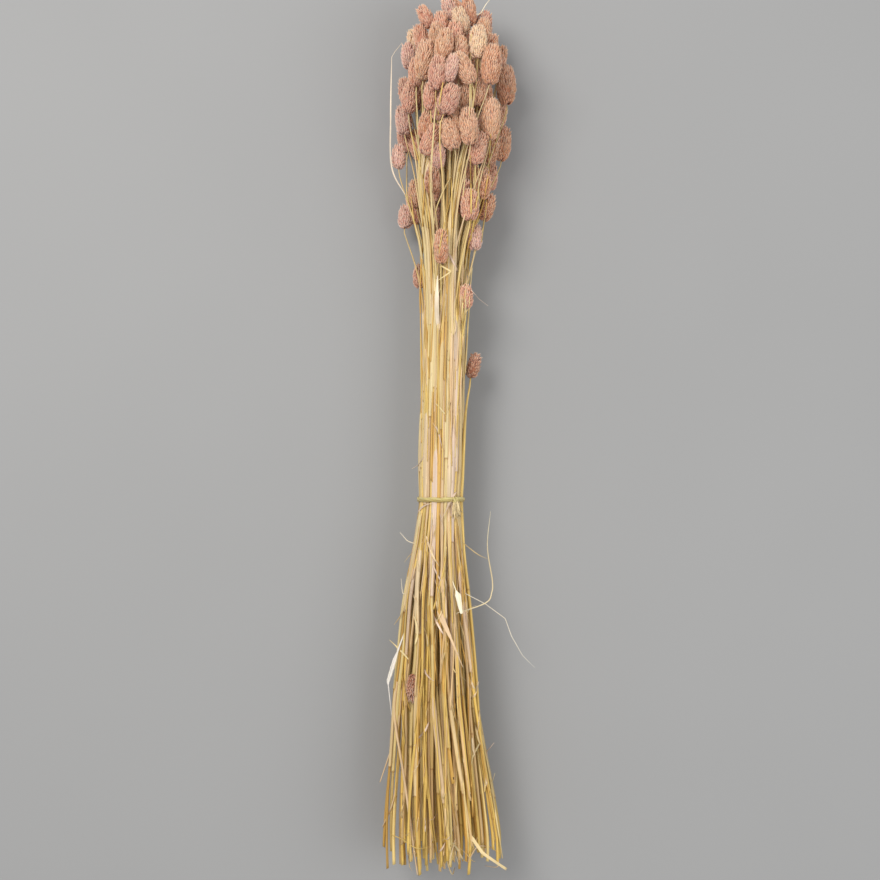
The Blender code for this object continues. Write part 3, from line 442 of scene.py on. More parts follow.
# Torn shreds: how many, how many of them above the tie, and from where to where below and above
# it. Then their measures in millimetres, and how they head, curl, rise and twist.
SHREDS = 80
SHREDS_ABOVE = 0.15
SHRED_ALONG = ((5, 285), (300, 480))
SHRED_LENGTH = (7, 26)
SHRED_WIDTH = (0.4, 1.7)
SHREDS_DOWNWARDS = 0.6
SHRED_HEADING = 0.3
SHRED_CURL = 0.14
SHRED_KINK = 0.13
SHRED_LIFTS = (0.2, 0.7, 1.6, 2.6)
SHRED_RISE = (0.3, 1.3)
SHRED_SHADE = (0.85, 1.15)
SHRED_TWIST = 1.2
# Thin straws over the others: from and to how far along, how many, and how much they slant. Then
# their measures in millimetres, as shares of the bundle's half width, and their tone.
STRAY_STRAWS = ((4, 262, 60, 0.2), (304, 490, 54, 0.1), (440, 566, 14, 0.3), (186, 286, 26, 0.08))
STRAY_LENGTH = (50, 150)
STRAY_STEP = 14
STRAY_RADIUS = (0.28, 0.8)
STRAY_LIFT = (-0.6, 1.0)
STRAY_START = 0.95
STRAY_REACH = 0.86
STRAY_SHADE = (0.9, 1.1)
STRAY_GOLDEN = 0.6

# The cord: its strands, how often they wind round each other, and how far that lifts them.
STRANDS = 3
STRAND_SIZE = (1.0 * MM, 0.6 * MM)
STRAND_SIDES = 10
STRAND_RIBS = (0.06, 5)
TIE_STEPS = 360
TIE_SMOOTHING = 12
TIE_TWISTS = 3
TIE_LIFT = 0.25 * MM
TIE_SWELL = 0.35 * MM
TIE_WAVE = 1.05 * MM
# The knot: its loops as (place sideways, lean, size) in millimetres, and their measures; the last
# is a painted highlight, how much lighter than the cord's lit tone they are.
KNOT_LIFT = 1.0 * MM
KNOT_LOOPS = ((-1.3, 0.5, 1.7), (0.4, -0.6, 1.9), (1.9, 0.4, 1.6))
LOOP_POINTS = 26
LOOP_SIDES = 8
LOOP_LENGTH = 1.1
LOOP_RISE = 0.6
LOOP_RADIUS = 0.75 * MM
LOOP_PAINTED_HIGHLIGHT = 1.08
# The frayed tails: their fibres, how many are ribbons, how they fan out, and their measures.
TAIL_FIBRES = 10
TAIL_RIBBONS = 6
TAIL_FAN = 0.6
FAN_RISE = 0.4
TAIL_STRETCH = 1.2
TAIL_LIFT = 0.4
TAIL_WIDTH = (1.3, 2.6)
TAIL_TWIST = 1.5
TAIL_RADIUS = (0.2, 0.4)
FIBRE_SIDES = 5
TAIL_SHADE = (0.8, 1.15)
TAIL_TONE = srgb(230, 206, 156)
# The cord's tones: a painted highlight, plain, and painted shade, taken as strands wind to the
# heads' side or the cut ends' side of the cord, and where it is worn.
TWINE_LIT_PLAIN_SHADED = (srgb(214, 198, 132), srgb(196, 178, 108), srgb(168, 146, 84))
TWINE_WORN = srgb(150, 124, 66)

# The floor, and the light that comes from all round.
FLOOR_GREY = (0.325, 0.325, 0.325)
FLOOR_HALF = 3.0
AMBIENT = 0.6
# Each light's name, place, size, power and colour.
LIGHTS = (
    ("key", (-0.9, 0.9, 1.7), 1.0, 30, (1, 0.98, 0.95)),
    ("fill", (1.2, -0.3, 1.5), 1.2, 12, (0.97, 0.985, 1)),
)
# What the camera sees: how wide a view, round which point of the layout, from how far above.
VIEW_WIDTH = 704 * MM
VIEW_MIDDLE = (0, 342.4 * MM, AXIS_HEIGHT)
CAMERA_DISTANCE = 1.6


def ramp(distance, reach):
    """A share that grows from 0 at no distance to 1 at the reach."""
    return np.clip(distance / reach, 0, 1)


def turns_of(count):
    """Even angles all round."""
    return math.tau * np.arange(count) / count


def circle(turns, ribs=1):
    """Points at angles on a circle of radius 1, which may have ribs."""
    return np.stack([np.cos(turns) * ribs, np.sin(turns) * ribs], 1)


def averaged(rows):
    """Each inner row averaged with the rows beside it."""
    return 0.25 * rows[:-2] + 0.5 * rows[1:-1] + 0.25 * rows[2:]


def size_of(gap):
    """The lengths of (across, height) gaps, never quite 0."""
    return np.sqrt(gap[..., 0] ** 2 + gap[..., 1] ** 2) + NEVER_ZERO


def on_axis(middle):
    """Places on the bundle's axis as (across, height), from where its middle lies across."""
    return np.stack([middle, np.full(len(middle), AXIS_HEIGHT)], 1)


def outline_at(along):
    """The bundle's middle across and half its width at a distance along it."""
    rows = np.array(OUTLINE) * MM
    middle = np.interp(along, rows[:, 0], rows[:, 1])
    return middle, np.interp(along, rows[:, 0], rows[:, 2])


def half_at_waist():
    """Half the bundle's width at its tie."""
    return float(outline_at(WAIST_ALONG)[1])


def stem_radius(along, head_base):
    """A stem's radius at a distance along the bundle."""
    rows = np.array(STEM_RADIUS) * MM
    thick = np.interp(along, rows[:, 0], rows[:, 1])
    near = ramp(head_base - along, NECK_LENGTH)
    return NECK_RADIUS + (thick - NECK_RADIUS) * near


def head_swell(share):
    """A head's radius as a share of its widest, from its base at 0 to its tip at 1."""
    share = np.clip(share, 0, 1)
    return np.sqrt(np.maximum(np.sin(math.pi * share**EGG_SKEW), 0))


class Bunch:
    """The plants: each head's middle, slope, length and radius, and its stem at every station."""

    def __init__(self):
        draw = random.Random(SEED)
        heads = self.shown_heads() + self.hidden_heads(draw)
        self.centre = np.array([h[0] for h in heads])
        self.slope = np.array([h[1] for h in heads])
        self.length = np.array([h[2] for h in heads])
        self.radius = np.array([h[3] for h in heads])
        self.count = len(heads)
        self.shown = len(SHOWN_HEADS)
        self.twist = [draw.uniform(0, math.tau) for _ in heads]
        steepness = np.sqrt(1 + (self.slope**2).sum(axis=1))
        self.half_reach = self.length / steepness / 2
        self.base_along = self.centre[:, 1] - self.half_reach
        self.cut_along = self.cut_ends(draw)
        self.first_place = self.stem_places(draw)
        self.place = self.first_place.copy()
        self.first_centre = self.centre.copy()
        self.groups = self.group_heads()

    def shown_heads(self):
        """The heads that the table gives, on the bundle's upper side, layer under layer."""
        heads = []
        for across, along, lean, length, width, layer in SHOWN_HEADS:
            across, along, length = across * MM, along * MM, length * MM
            width = width * PLUMPNESS * MM
            middle, half = outline_at(along)
            shell = max(half - width / 2, abs(across - middle))
            rise = math.sqrt(max(shell**2 - (across - middle) ** 2, 0))
            height = AXIS_HEIGHT + rise - layer * LAYER_DEPTH
            outward = OUTWARD_LEAN * rise / half
            slope = (math.tan(math.radians(lean)), outward)
            heads.append(((across, along, height), slope, length, width / 2))
        return heads

    def points_back(self, plant):
        """Whether a head points to the cut ends: a broken one, caught among the stems."""
        return plant < self.shown and SHOWN_HEADS[plant][2] > 90

    def hidden_heads(self, draw):
        """Heads drawn at random for the middle and the underside, none too near another."""
        taken = [h[0] for h in self.shown_heads()]
        heads = []
        spacing = HIDDEN_SPACING
        weights = np.array((1, SPACING_ALONG, 1))
        while len(heads) < HIDDEN_HEADS:
            low = draw.random() < HIDDEN_LOW_SHARE
            along = draw.uniform(*(HIDDEN_ALONG[:2] if low else HIDDEN_ALONG[1:]))
            length = draw.uniform(*HIDDEN_LENGTH)
            radius = length * HEAD_SLIMNESS / 2
            middle, half = outline_at(along)
            angle = draw.uniform(-math.pi, math.pi)
            limit = 1 if math.sin(angle) < UPPER_SIDE else UPPER_REACH
            distance = (half - radius) * limit * math.sqrt(draw.random())
            across = middle + distance * math.cos(angle)
            height = max(AXIS_HEIGHT + distance * math.sin(angle), radius)
            spot = (across, along, height)
            nearest = min(math.dist(weights * other, weights * spot) for other in taken)
            if nearest < spacing:
                spacing *= SPACING_SHRINK
                continue
            taken.append(spot)
            lean = SIDE_LEAN * (across - middle) / half + draw.uniform(-STRAY_LEAN, STRAY_LEAN)
            drop = OUTWARD_LEAN * (height - AXIS_HEIGHT) / half
            heads.append((spot, (lean, drop), length, radius))
        return heads

    def cut_ends(self, draw):
        """Where each stem is cut, a little uneven, with a few cut short."""
        cuts = [draw.uniform(*CUT_END_SPREAD) for _ in range(self.count)]
        for plant, along in SHORT_CUTS.items():
            cuts[plant] = along
        for plant in range(self.count):
            if self.points_back(plant):
                cuts[plant] = self.base_along[plant] + STATION_STEP
        return np.array(cuts)

    def stem_places(self, draw):
        """Each stem's first place at every station, as (across, height)."""
        middle, half = outline_at(self.base_along)
        base = self.centre[:, [0, 2]] - self.slope * self.half_reach[:, None]
        top = (base - on_axis(middle)) / half[:, None]
        distance = np.hypot(top[:, 0], top[:, 1])
        angle = np.arctan2(top[:, 1], top[:, 0])
        self.rim = self.rim_order(angle, distance)
        inner = [p for p in np.argsort(distance, kind="stable") if p not in self.rim]
        packed = np.full(self.count, 1 - STEM_RADIUS[1][1] * MM / half_at_waist())
        packed[inner] = INNER_FILL * np.sqrt((np.arange(len(inner)) + 0.5) / len(inner))
        turn = angle.copy()
        turn[self.rim] = turns_of(RIM_STEMS) - math.pi
        waist = packed[:, None] * circle(turn)
        sway = np.array([draw.uniform(-BASE_SWAY, BASE_SWAY) for _ in turn])
        spread = np.array([draw.uniform(*BASE_SPREAD) for _ in turn])
        for slot, far in LOOSE_FEET.items():
            sway[self.rim[slot]] = 0
            spread[self.rim[slot]] = far
        foot = circle(turn + sway) * (packed * spread)[:, None]
        places = np.zeros((len(STATIONS), self.count, 2))
        middles, halves = outline_at(STATIONS)
        for row, along in enumerate(STATIONS):
            if along < WAIST_ALONG:
                share = along / WAIST_ALONG
                unit = foot + (waist - foot) * share
            else:
                rise = np.maximum(self.base_along - WAIST_ALONG, SHORTEST_RISE)
                share = ramp(along - WAIST_ALONG, rise)[:, None]
                unit = waist + (top - waist) * share
            places[row] = unit * halves[row] + (middles[row], AXIS_HEIGHT)
        self.bend_to_heads(places, base)
        return places

    def rim_order(self, angle, distance):
        """The plants whose stems make the rim at the waist, in order round it."""
        rim = {}
        for step in range(RIM_STEMS):
            slot = (step * RIM_STRIDE) % RIM_STEMS
            turn = math.tau * slot / RIM_STEMS - math.pi
            off = np.abs((angle - turn + math.pi) % math.tau - math.pi)
            cost = off**2 - RIM_REACH * distance
            cost[list(rim.values())] = np.inf
            rim[slot] = int(np.argmin(cost))
        return [rim[slot] for slot in range(RIM_STEMS)]

    def bend_to_heads(self, places, base):
        """Carries each stem to its head's base, and turns its end to the head's slope."""
        for plant in range(self.count):
            last = int(self.base_along[plant] / STATION_STEP)
            left = np.maximum(self.base_along[plant] - STATIONS, 0)
            miss = base[plant] - places[last, plant]
            places[:, plant] += miss * np.exp(-left / BASE_BEND)[:, None]
            slope = (places[last, plant] - places[last - 2, plant]) / (2 * STATION_STEP)
            turn = (self.slope[plant] - slope) * NECK_TURN
            places[:, plant] -= turn * (left * np.exp(-left / NECK_BEND))[:, None]
            middle, half = outline_at(self.base_along[plant])
            inward = np.array([middle, AXIS_HEIGHT]) - base[plant]
            inward /= max(half, math.hypot(*inward))
            fade = ramp(STATIONS - WAIST_ALONG, DIVE_FADE)
            sink = DIVE * (1 - np.exp(-np.maximum(left - DIVE_START, 0) / DIVE_BEND)) * fade
            places[:, plant] += inward * sink[:, None]

    def group_heads(self):
        """Groups of heads that touch, at most HEADS_A_NODE in each, as lists of plants."""
        pairs = []
        for a in range(self.count):
            for b in range(a):
                apart = (self.centre[a] - self.centre[b]) * (1, STEP_WEIGHT, 1)
                near = math.sqrt((apart**2).sum()) - self.radius[a] - self.radius[b]
                overlap = self.half_reach[a] + self.half_reach[b]
                if abs(apart[1]) < SIDE_BY_SIDE * overlap:
                    pairs.append((round(near, 6), a, b))
        group = {plant: [plant] for plant in range(self.count)}
        self.bonds = []
        groups = self.count
        for _, a, b in sorted(pairs):
            if groups == HEAD_NODES:
                break
            if group[a] is group[b] or len(group[a]) + len(group[b]) > HEADS_A_NODE:
                continue
            joined = group[a] + group[b]
            self.bonds.append((a, b))
            groups -= 1
            for plant in joined:
                group[plant] = joined
        unique = {tuple(sorted(members)) for members in group.values()}
        return sorted(unique, key=lambda members: -self.centre[members[0], 1])

    def head_rows(self, plant):
        """The stations inside a head, and its middle and radius at each."""
        off = STATIONS - self.centre[plant, 1]
        rows = np.flatnonzero(np.abs(off) < self.half_reach[plant] + STATION_STEP / 2)
        place = self.centre[plant, [0, 2]] + self.slope[plant] * off[rows, None]
        share = np.clip(off[rows] / self.half_reach[plant] / 2 + 0.5, FOOT_SHARE, 1 - FOOT_SHARE)
        return rows, place, self.radius[plant] * head_swell(share)

    def fill_stations(self):
        """Every plant's radius at each station, and whether it is stem or head there."""
        along = STATIONS[:, None]
        self.girth = stem_radius(along, self.base_along[None, :])
        self.is_stem = (along > self.cut_along - STATION_STEP) & (along <= self.base_along)
        self.is_head = np.zeros_like(self.is_stem)
        for plant in range(self.count):
            rows, place, radius = self.head_rows(plant)
            self.place[rows, plant] = place
            self.girth[rows, plant] = radius
            self.is_head[rows, plant] = True
            self.is_stem[rows, plant] = False

    def part_stems(self):
        """Moves overlapping stems apart at each station."""
        for row in range(len(STATIONS)):
            here = np.flatnonzero(self.is_stem[row])
            place = self.place[row, here]
            girth = self.girth[row, here]
            gap = place[:, None] - place[None, :]
            far = size_of(gap)
            over = np.maximum(girth[:, None] + girth[None, :] + STEM_CLEARANCE - far, 0)
            np.fill_diagonal(over, 0)
            self.place[row, here] += STEM_PUSH * (gap * (over / far)[..., None]).sum(axis=1)

    def part_heads(self):
        """Moves stems off the heads that they would cross, and heads off each other."""
        shift = np.zeros((self.count, 2))
        bonded = {frozenset(bond) for bond in self.bonds}
        for plant in range(self.count):
            rows, middle, radius = self.head_rows(plant)
            gap = self.place[rows] - middle[:, None]
            far = size_of(gap)
            stem_here, head_here = self.is_stem[rows], self.is_head[rows].copy()
            head_here[:, plant] = False
            clear = np.where(stem_here, HEAD_CLEARANCE, HEAD_CLEARANCE_HEADS)
            over = self.girth[rows] + radius[:, None] + clear - far
            over = np.where(stem_here | head_here, np.maximum(over, 0), 0)
            for other in np.flatnonzero(over.max(axis=0) > 0):
                hit = over[:, other] > 0
                away = gap[hit, other].sum(axis=0)
                size = math.hypot(*away)
                if size < TINY:
                    away, size = np.array([0.0, -1.0]), 1.0
                away = away / size
                stems = stem_here[:, other]
                off = (STEM_OFF_HEAD * over[stems, other])[:, None]
                self.place[rows[stems], other] += away * off
                shift[plant] -= HEAD_OFF_STEM * away * over[stems, other].max(initial=0)
                push = over[head_here[:, other], other].max(initial=0)
                if frozenset((plant, int(other))) in bonded:
                    continue
                shift[other] += HEAD_PUSH * push * away
                shift[plant] -= HEAD_PUSH * push * away
        for a, b in self.bonds:
            self.draw_together(a, b, shift)
        shift[: self.shown, 0] *= SHOWN_STAY
        shift[self.centre[:, 2] < AXIS_HEIGHT, 1] -= SAG
        self.centre[:, [0, 2]] += shift

    def draw_together(self, a, b, shift):
        """Brings two heads of one group to where they bite a little into each other."""
        rows, middle, radius = self.head_rows(a)
        both = self.is_head[rows, b]
        gap = self.place[rows[both], b] - middle[both]
        far = size_of(gap)
        bite = BITE[max(a, b) >= self.shown]
        over = self.girth[rows[both], b] + radius[both] - bite - far
        if not len(over):
            return
        worst = int(np.argmax(over))
        step = HEAD_DRAW * over[worst] * gap[worst] / far[worst]
        shift[b] += step
        shift[a] -= step

    def keep_in_bounds(self):
        """Keeps stems inside the outline where they are packed, and all of it off the surface."""
        middle, half = outline_at(STATIONS)
        packed = half[:, None] - self.girth
        off = self.place - on_axis(middle)[:, None]
        far = size_of(off)
        tight = (STATIONS < STRAYS_BELOW)[:, None] & self.is_stem & (far > packed)
        tight[:, self.strays()] = False
        for slot in LOOSE_FEET:
            tight[STATIONS < LOOSE_BELOW, self.rim[slot]] = False
        scale = np.where(tight, packed / far, 1)
        self.place += off * (scale - 1)[..., None]
        lifted = np.maximum(self.place[..., 1], self.girth)
        self.place[..., 1] = np.where(self.is_stem, lifted, self.place[..., 1])
        for plant in range(self.count):
            rows, place, radius = self.head_rows(plant)
            lowest = (place[:, 1] - radius).min()
            self.centre[plant, 2] += max(-PRESSED_FLAT - lowest, 0)

    def strays(self):
        """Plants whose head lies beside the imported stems."""
        return np.flatnonzero(self.centre[:, 1] < STRAYS_BELOW)

    def relax_stems(self):
        """Spreads each stem's sideways push along it, as a springy straw does."""
        pushed = self.place - self.first_place
        moved = (self.centre - self.first_centre)[:, [0, 2]]
        above = STATIONS[:, None] > self.base_along
        pushed = np.where(above[..., None], moved, pushed)
        for _ in range(SPRING_ROUNDS):
            pushed = averaged(np.concatenate([pushed[:1], pushed, pushed[-1:]]))
        self.place = self.first_place + pushed

    def settle(self):
        """Pushes everything apart, round after round, until nothing crosses."""
        for step in range(ROUNDS):
            self.fill_stations()
            self.part_heads()
            self.part_stems()
            self.keep_in_bounds()
            if step < ROUNDS - CALM_ROUNDS:
                self.relax_stems()
            self.place = np.round(self.place, DIGITS)
            self.centre = np.round(self.centre, DIGITS)
        for plant in range(self.count):
            if self.points_back(plant):
                self.centre[plant, 2] -= BROKEN_HEAD_DROP
        self.fill_stations()
        return self

    def head_base(self, plant):
        """The point where a head sits on its stem."""
        across, height = self.centre[plant, [0, 2]] - self.slope[plant] * self.half_reach[plant]
        return Vector((across, self.base_along[plant], height))

    def head_direction(self, plant):
        """The way a head points, from its base to its tip."""
        return Vector((self.slope[plant, 0], 1, self.slope[plant, 1])).normalized()

    def nearest_stem(self, spot):
        """The middle, at the same distance along, of the stem nearest to a point."""
        row = int(round(spot.y / STATION_STEP))
        here = np.flatnonzero(self.is_stem[row])
        off = self.place[row, here] - (spot.x, spot.z)
        plant = int(here[np.argmin((off**2).sum(axis=1))])
        return self.stem_point(plant, spot.y)

    def stem_point(self, plant, along):
        """The stem's middle at a distance along the bundle."""
        base = self.head_base(plant)
        along = min(along, base.y)
        last = int(base.y / STATION_STEP)
        stations = np.append(STATIONS[: last + 1], base.y + TINY)
        places = np.append(self.place[: last + 1, plant], [(base.x, base.z)], axis=0)
        across = np.interp(along, stations, places[:, 0])
        return Vector((across, along, np.interp(along, stations, places[:, 1])))


class Piece:
    """Gathers the points and faces of one piece; each point has a tint and a place in the grain."""

    def __init__(self, name):
        self.name = name
        self.points, self.faces, self.tints, self.grains = [], [], [], []
        self.count = 0

    def add(self, points, faces, tints, grains):
        """Adds points with their tints and grain, and faces between them."""
        self.points.append(np.asarray(points, float).reshape(-1, 3))
        self.tints.append(np.asarray(tints, float).reshape(-1, 3))
        self.grains.append(np.asarray(grains, float).reshape(-1, 3))
        for block in faces:
            self.faces.extend((np.asarray(block) + self.count).tolist())
        self.count += len(self.points[-1])

    def finish(self, material, slot, *nodes):
        """Makes the object in the part's axes; it rides on the part and may stand for its nodes."""
        points = np.concatenate(self.points) - LAYOUT_MIDDLE
        points[:, 2] = np.maximum(points[:, 2], 0)
        mesh = bpy.data.meshes.new(self.name)
        mesh.from_pydata(points.tolist(), [], self.faces)
        tints = np.clip(np.concatenate(self.tints), 0, 1)
        tint = mesh.attributes.new("tint", "FLOAT_COLOR", "POINT")
        tint.data.foreach_set("color", np.column_stack([tints, np.ones(len(tints))]).ravel())
        grain = mesh.attributes.new("grain", "FLOAT_VECTOR", "POINT")
        grain.data.foreach_set("vector", np.concatenate(self.grains).ravel())
        mesh.shade_smooth()
        mesh.materials.append(material)
        made = bpy.data.objects.new(self.name, mesh)
        bpy.context.scene.collection.objects.link(made)
        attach(made, "root")
        if nodes:
            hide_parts(*nodes)


def unit(ways):
    """Rows of directions, each brought to length 1."""
    return ways / np.linalg.norm(ways, axis=1)[:, None]


def bell(distance, reach):
    """1 where the distance is 0, and less and less on both sides."""
    return np.exp(-((distance / reach) ** 2))


def blend(first, second, share):
    """Two tints mixed: all of the first where the share is 0."""
    return first * (1 - share) + second * share


def banded(tone, share, bands, draw):
    """A tone that gets a little lighter and darker in bands along a route."""
    depth, waves = bands
    return tone * (1 + depth * np.sin(share * waves + draw.uniform(*PHASE)))[:, None]


def run_along(points):
    """How far along a route each of its points lies."""
    return np.concatenate([[0], np.cumsum(np.linalg.norm(np.diff(points, axis=0), axis=1))])


def ring_quads(rings, count):
    """The faces between rings of points that follow each other."""
    row = np.arange(rings - 1)[:, None] * count
    k = np.arange(count)
    after = (k + 1) % count
    quads = np.stack([row + k, row + after, row + count + after, row + count + k], -1)
    return quads.reshape(-1, 4)


def glume_shape():
    """A glume's points as shares of its width, thickness and length, and its faces."""
    points = [(0, 0, 0)]
    for rise, half, thick in GLUME_RINGS:
        points += [(-half / 2, 0, rise), (0, thick, rise), (half / 2, 0, rise)]
        points.append((0, -GLUME_BACK * thick, rise))
    tip, last = len(points), len(points) - 4
    points.append((0, *GLUME_TIP))
    tris = [(0, 1 + (k + 1) % 4, 1 + k) for k in range(4)]
    tris += [(tip, last + k, last + (k + 1) % 4) for k in range(4)]
    return np.array(points, float), ring_quads(len(GLUME_RINGS), 4) + 1, np.array(tris)


def head_axes(bunch, plant):
    """A head's base, and its ways sideways, ahead and up."""
    base, ahead = np.array(bunch.head_base(plant)), np.array(bunch.head_direction(plant))
    if bunch.points_back(plant):
        base, ahead = base + ahead * bunch.length[plant], -ahead
    side = np.cross(ahead, (0, 0, 1))
    side /= np.linalg.norm(side)
    return base, side, ahead, np.cross(side, ahead)


def glume_places(bunch, plant, count, draw):
    """Where glumes sit: the share along the head, the body's radius and slope, and the angle."""
    length, radius = bunch.length[plant], bunch.radius[plant]
    grid = np.linspace(0, 1, SWELL_STEPS)
    swell = head_swell(FOOT_SHARE + (1 - FOOT_SHARE) * grid) ** BLUNTNESS
    weight = np.cumsum(swell + THIN_END_WEIGHT)
    order = (np.arange(count) + 0.5) / count
    share = np.interp(order * weight[-1], weight, grid)
    share = np.clip(share + draw.normal(0, ALONG_JITTER, count), 0, LAST_GLUME)
    reach = np.interp(share, grid, swell) * radius
    slope = np.interp(share, grid, np.gradient(swell, grid)) * radius / length
    turn = GOLDEN_ANGLE * np.arange(count)
    angle = bunch.twist[plant] + turn + draw.normal(0, ROUND_JITTER, count)
    return share, reach, np.clip(slope, *SLOPE_LIMITS), angle


def add_head(piece, bunch, plant, draw, tone):
    """A seed head: pairs of pointed glumes all over an egg-shaped body."""
    base, side, ahead, up = head_axes(bunch, plant)
    length, radius = bunch.length[plant], bunch.radius[plant]
    add_head_core(piece, base, (side, ahead, up), length, radius, tone)
    area = math.tau * radius * length * EGG_AREA
    count = int(area / (SPIKELET_AREA if plant < bunch.shown else HIDDEN_SPIKELET_AREA))
    share, reach, slope, angle = glume_places(bunch, plant, count, draw)
    near_tip = ramp(share - CLOSING, LAST_GLUME - CLOSING)
    out = np.cos(angle)[:, None] * side + np.sin(angle)[:, None] * up
    along = unit(ahead + slope[:, None] * out)
    across = unit(np.cross(along, out))
    face = np.cross(across, along)
    flare = np.radians(draw.uniform(*GLUME_FLARE, count) * OPEN_HEADS.get(plant, 1))[:, None]
    flare = flare * (BASE_FLARE + TIP_FLARE * share[:, None] ** 2) * (1 - near_tip)[:, None]
    spot = base + ahead * (length * share)[:, None] + out * (GLUME_SEAT * reach)[:, None]
    size = GLUME_LENGTH[0] + GLUME_LENGTH[1] * length
    light = draw.uniform(*TIP_LIGHT, count) + LIGHTER_AHEAD * share
    shade = draw.normal(1, GLUME_SHADE, (count, 1)) + draw.normal(0, GLUME_HUE, (count, 3))
    for hand in (-1, 1):
        turn = np.radians(hand * draw.uniform(*PAIR_TURN, count))[:, None]
        lean = np.radians(hand * draw.uniform(*PAIR_LEAN, count))[:, None]
        facing = face * np.cos(turn) + across * np.sin(turn)
        pointing = along * np.cos(flare) + face * np.sin(flare)
        pointing = pointing * np.cos(lean) + across * np.sin(lean)
        facing = unit(facing - pointing * (facing * pointing).sum(axis=1)[:, None])
        growth = GROWTH[0] + GROWTH[1] * share**2 - GROWTH[2] * near_tip
        long = size * draw.uniform(*LENGTH_SPREAD, count) * growth
        root = pointing * (GLUME_ROOT * long)[:, None]
        origin = spot + across * (hand * PAIR_APART * size) - root
        add_glumes(piece, origin, (facing, pointing), long, size, (tone * shade, light), draw)


def add_glumes(piece, origin, ways, long, size, looks, draw):
    """Glumes from their roots, the ways that they face and point, their lengths and tints."""
    facing, pointing = ways
    shades, light = looks
    wide = np.cross(pointing, facing)
    count = len(origin)
    shape, quads, tris = glume_shape()
    points = (
        origin[:, None]
        + wide[:, None] * (shape[:, 0] * GLUME_WIDTH * size)[None, :, None]
        + facing[:, None] * (shape[:, 1] * GLUME_THICKNESS * size)[None, :, None]
        + pointing[:, None] * (shape[:, 2] * long[:, None])[..., None]
    )
    offsets = (np.arange(count) * len(shape))[:, None, None]
    faces = [(quads + offsets).reshape(-1, 4), (tris + offsets).reshape(-1, 3)]
    rise = shape[:, 2][None, :, None]
    # Painted shade: each glume darker towards its foot, which lies in the shade under the glumes
    # over it.
    foot = FOOT_PAINTED_SHADE * np.clip(1 - rise / FOOT_REACH, 0, 1)
    tints = np.broadcast_to(shades[:, None], points.shape)
    tints = blend(tints, HUSK_TIP, light[:, None, None] * rise**2)
    tints = blend(tints, HUSK_FOOT_SHADE, foot)
    grains = np.stack(np.broadcast_arrays(
        shape[:, 0][None] * GLUME_WIDTH * size, shape[:, 2][None] * size,
        draw.uniform(0, 1, (count, 1)),
    ), -1)
    piece.add(points, faces, tints, grains)


def add_head_core(piece, base, axes, length, radius, tone):
    """The body inside a head, tinted dark as painted shade between its glumes."""
    side, ahead, up = axes
    around, rows = CORE_SIDES, CORE_ROWS
    shares = np.linspace(*CORE_STRETCH, rows)
    turns = turns_of(around)
    ring = np.cos(turns)[:, None] * side + np.sin(turns)[:, None] * up
    reach = CORE_SIZE * radius * head_swell(shares) ** BLUNTNESS
    reach = reach * np.interp(shares, *CORE_TAPER)
    points = base + ahead * (length * shares)[:, None, None] + ring[None] * reach[:, None, None]
    points = np.concatenate([points.reshape(-1, 3), [base], [base + ahead * length * CORE_TIP]])
    foot, last = rows * around, (rows - 1) * around
    tris = []
    for k in range(around):
        after = (k + 1) % around
        tris += [(foot, after, k), (foot + 1, last + k, last + after)]
    # The core takes the glumes' painted foot shade, so the gaps between glumes look like shade.
    tint = HUSK_FOOT_SHADE * CORE_PAINTED_SHADE[0] + tone * CORE_PAINTED_SHADE[1]
    piece.add(points, [ring_quads(rows, around), tris], np.tile(tint, (len(points), 1)), points)


def frames(points):
    """For each point of a route, the way sideways and the way up, turning as little as it can."""
    normal = np.array((0, 0, 1.0))
    sides, ups = [], []
    for way in unit(np.gradient(points, axis=0)):
        normal = normal - way * normal.dot(way)
        normal /= np.linalg.norm(normal)
        sides.append(np.cross(way, normal))
        ups.append(normal)
    return np.array(sides), np.array(ups)


def smooth_route(points, pitch):
    """Points at about an even pitch on a smooth curve through the given ones."""
    points = [Vector(p) for p in points]
    ends = [2 * points[0] - points[1], *points, 2 * points[-1] - points[-2]]
    made = []
    for a, b, c, d in zip(ends, ends[1:], ends[2:], ends[3:]):
        steps = max(int((c - b).length / pitch), 1)
        for step in range(steps):
            t = step / steps
            made.append(
                0.5 * (2 * b + (c - a) * t + (2 * a - 5 * b + 4 * c - d) * t**2
                       + (3 * b - a - 3 * c + d) * t**3)
            )
    made.append(points[-1])
    return np.array(made)


def straight_route(points, pitch):
    """Points at about an even pitch on straight runs between the given ones."""
    points = np.array([tuple(p) for p in points], float)
    run = run_along(points)
    places = np.linspace(0, run[-1], int(run[-1] / pitch) + 2)
    return np.stack([np.interp(places, run, points[:, axis]) for axis in range(3)], 1)


def add_swept(piece, centres, sides, ups, offsets, tints, seed, close=True):
    """A skin through sections of (sideways, up) offsets, one at each centre of a route."""
    rings, count = offsets.shape[:2]
    points = centres[:, None] + sides[:, None] * offsets[..., :1] + ups[:, None] * offsets[..., 1:]
    faces = [ring_quads(rings, count)]
    if close:
        last = (rings - 1) * count
        faces.append([list(range(count))[::-1]])
        faces.append([[last + k for k in range(count)]])
    grains = np.empty(points.shape)
    grains[..., 0] = offsets[..., 0] + seed
    grains[..., 1] = run_along(centres)[:, None] + seed
    grains[..., 2] = offsets[..., 1] + seed
    tints = np.broadcast_to(tints[:, None] if tints.ndim == 2 else tints, points.shape)
    piece.add(points, faces, tints, grains)


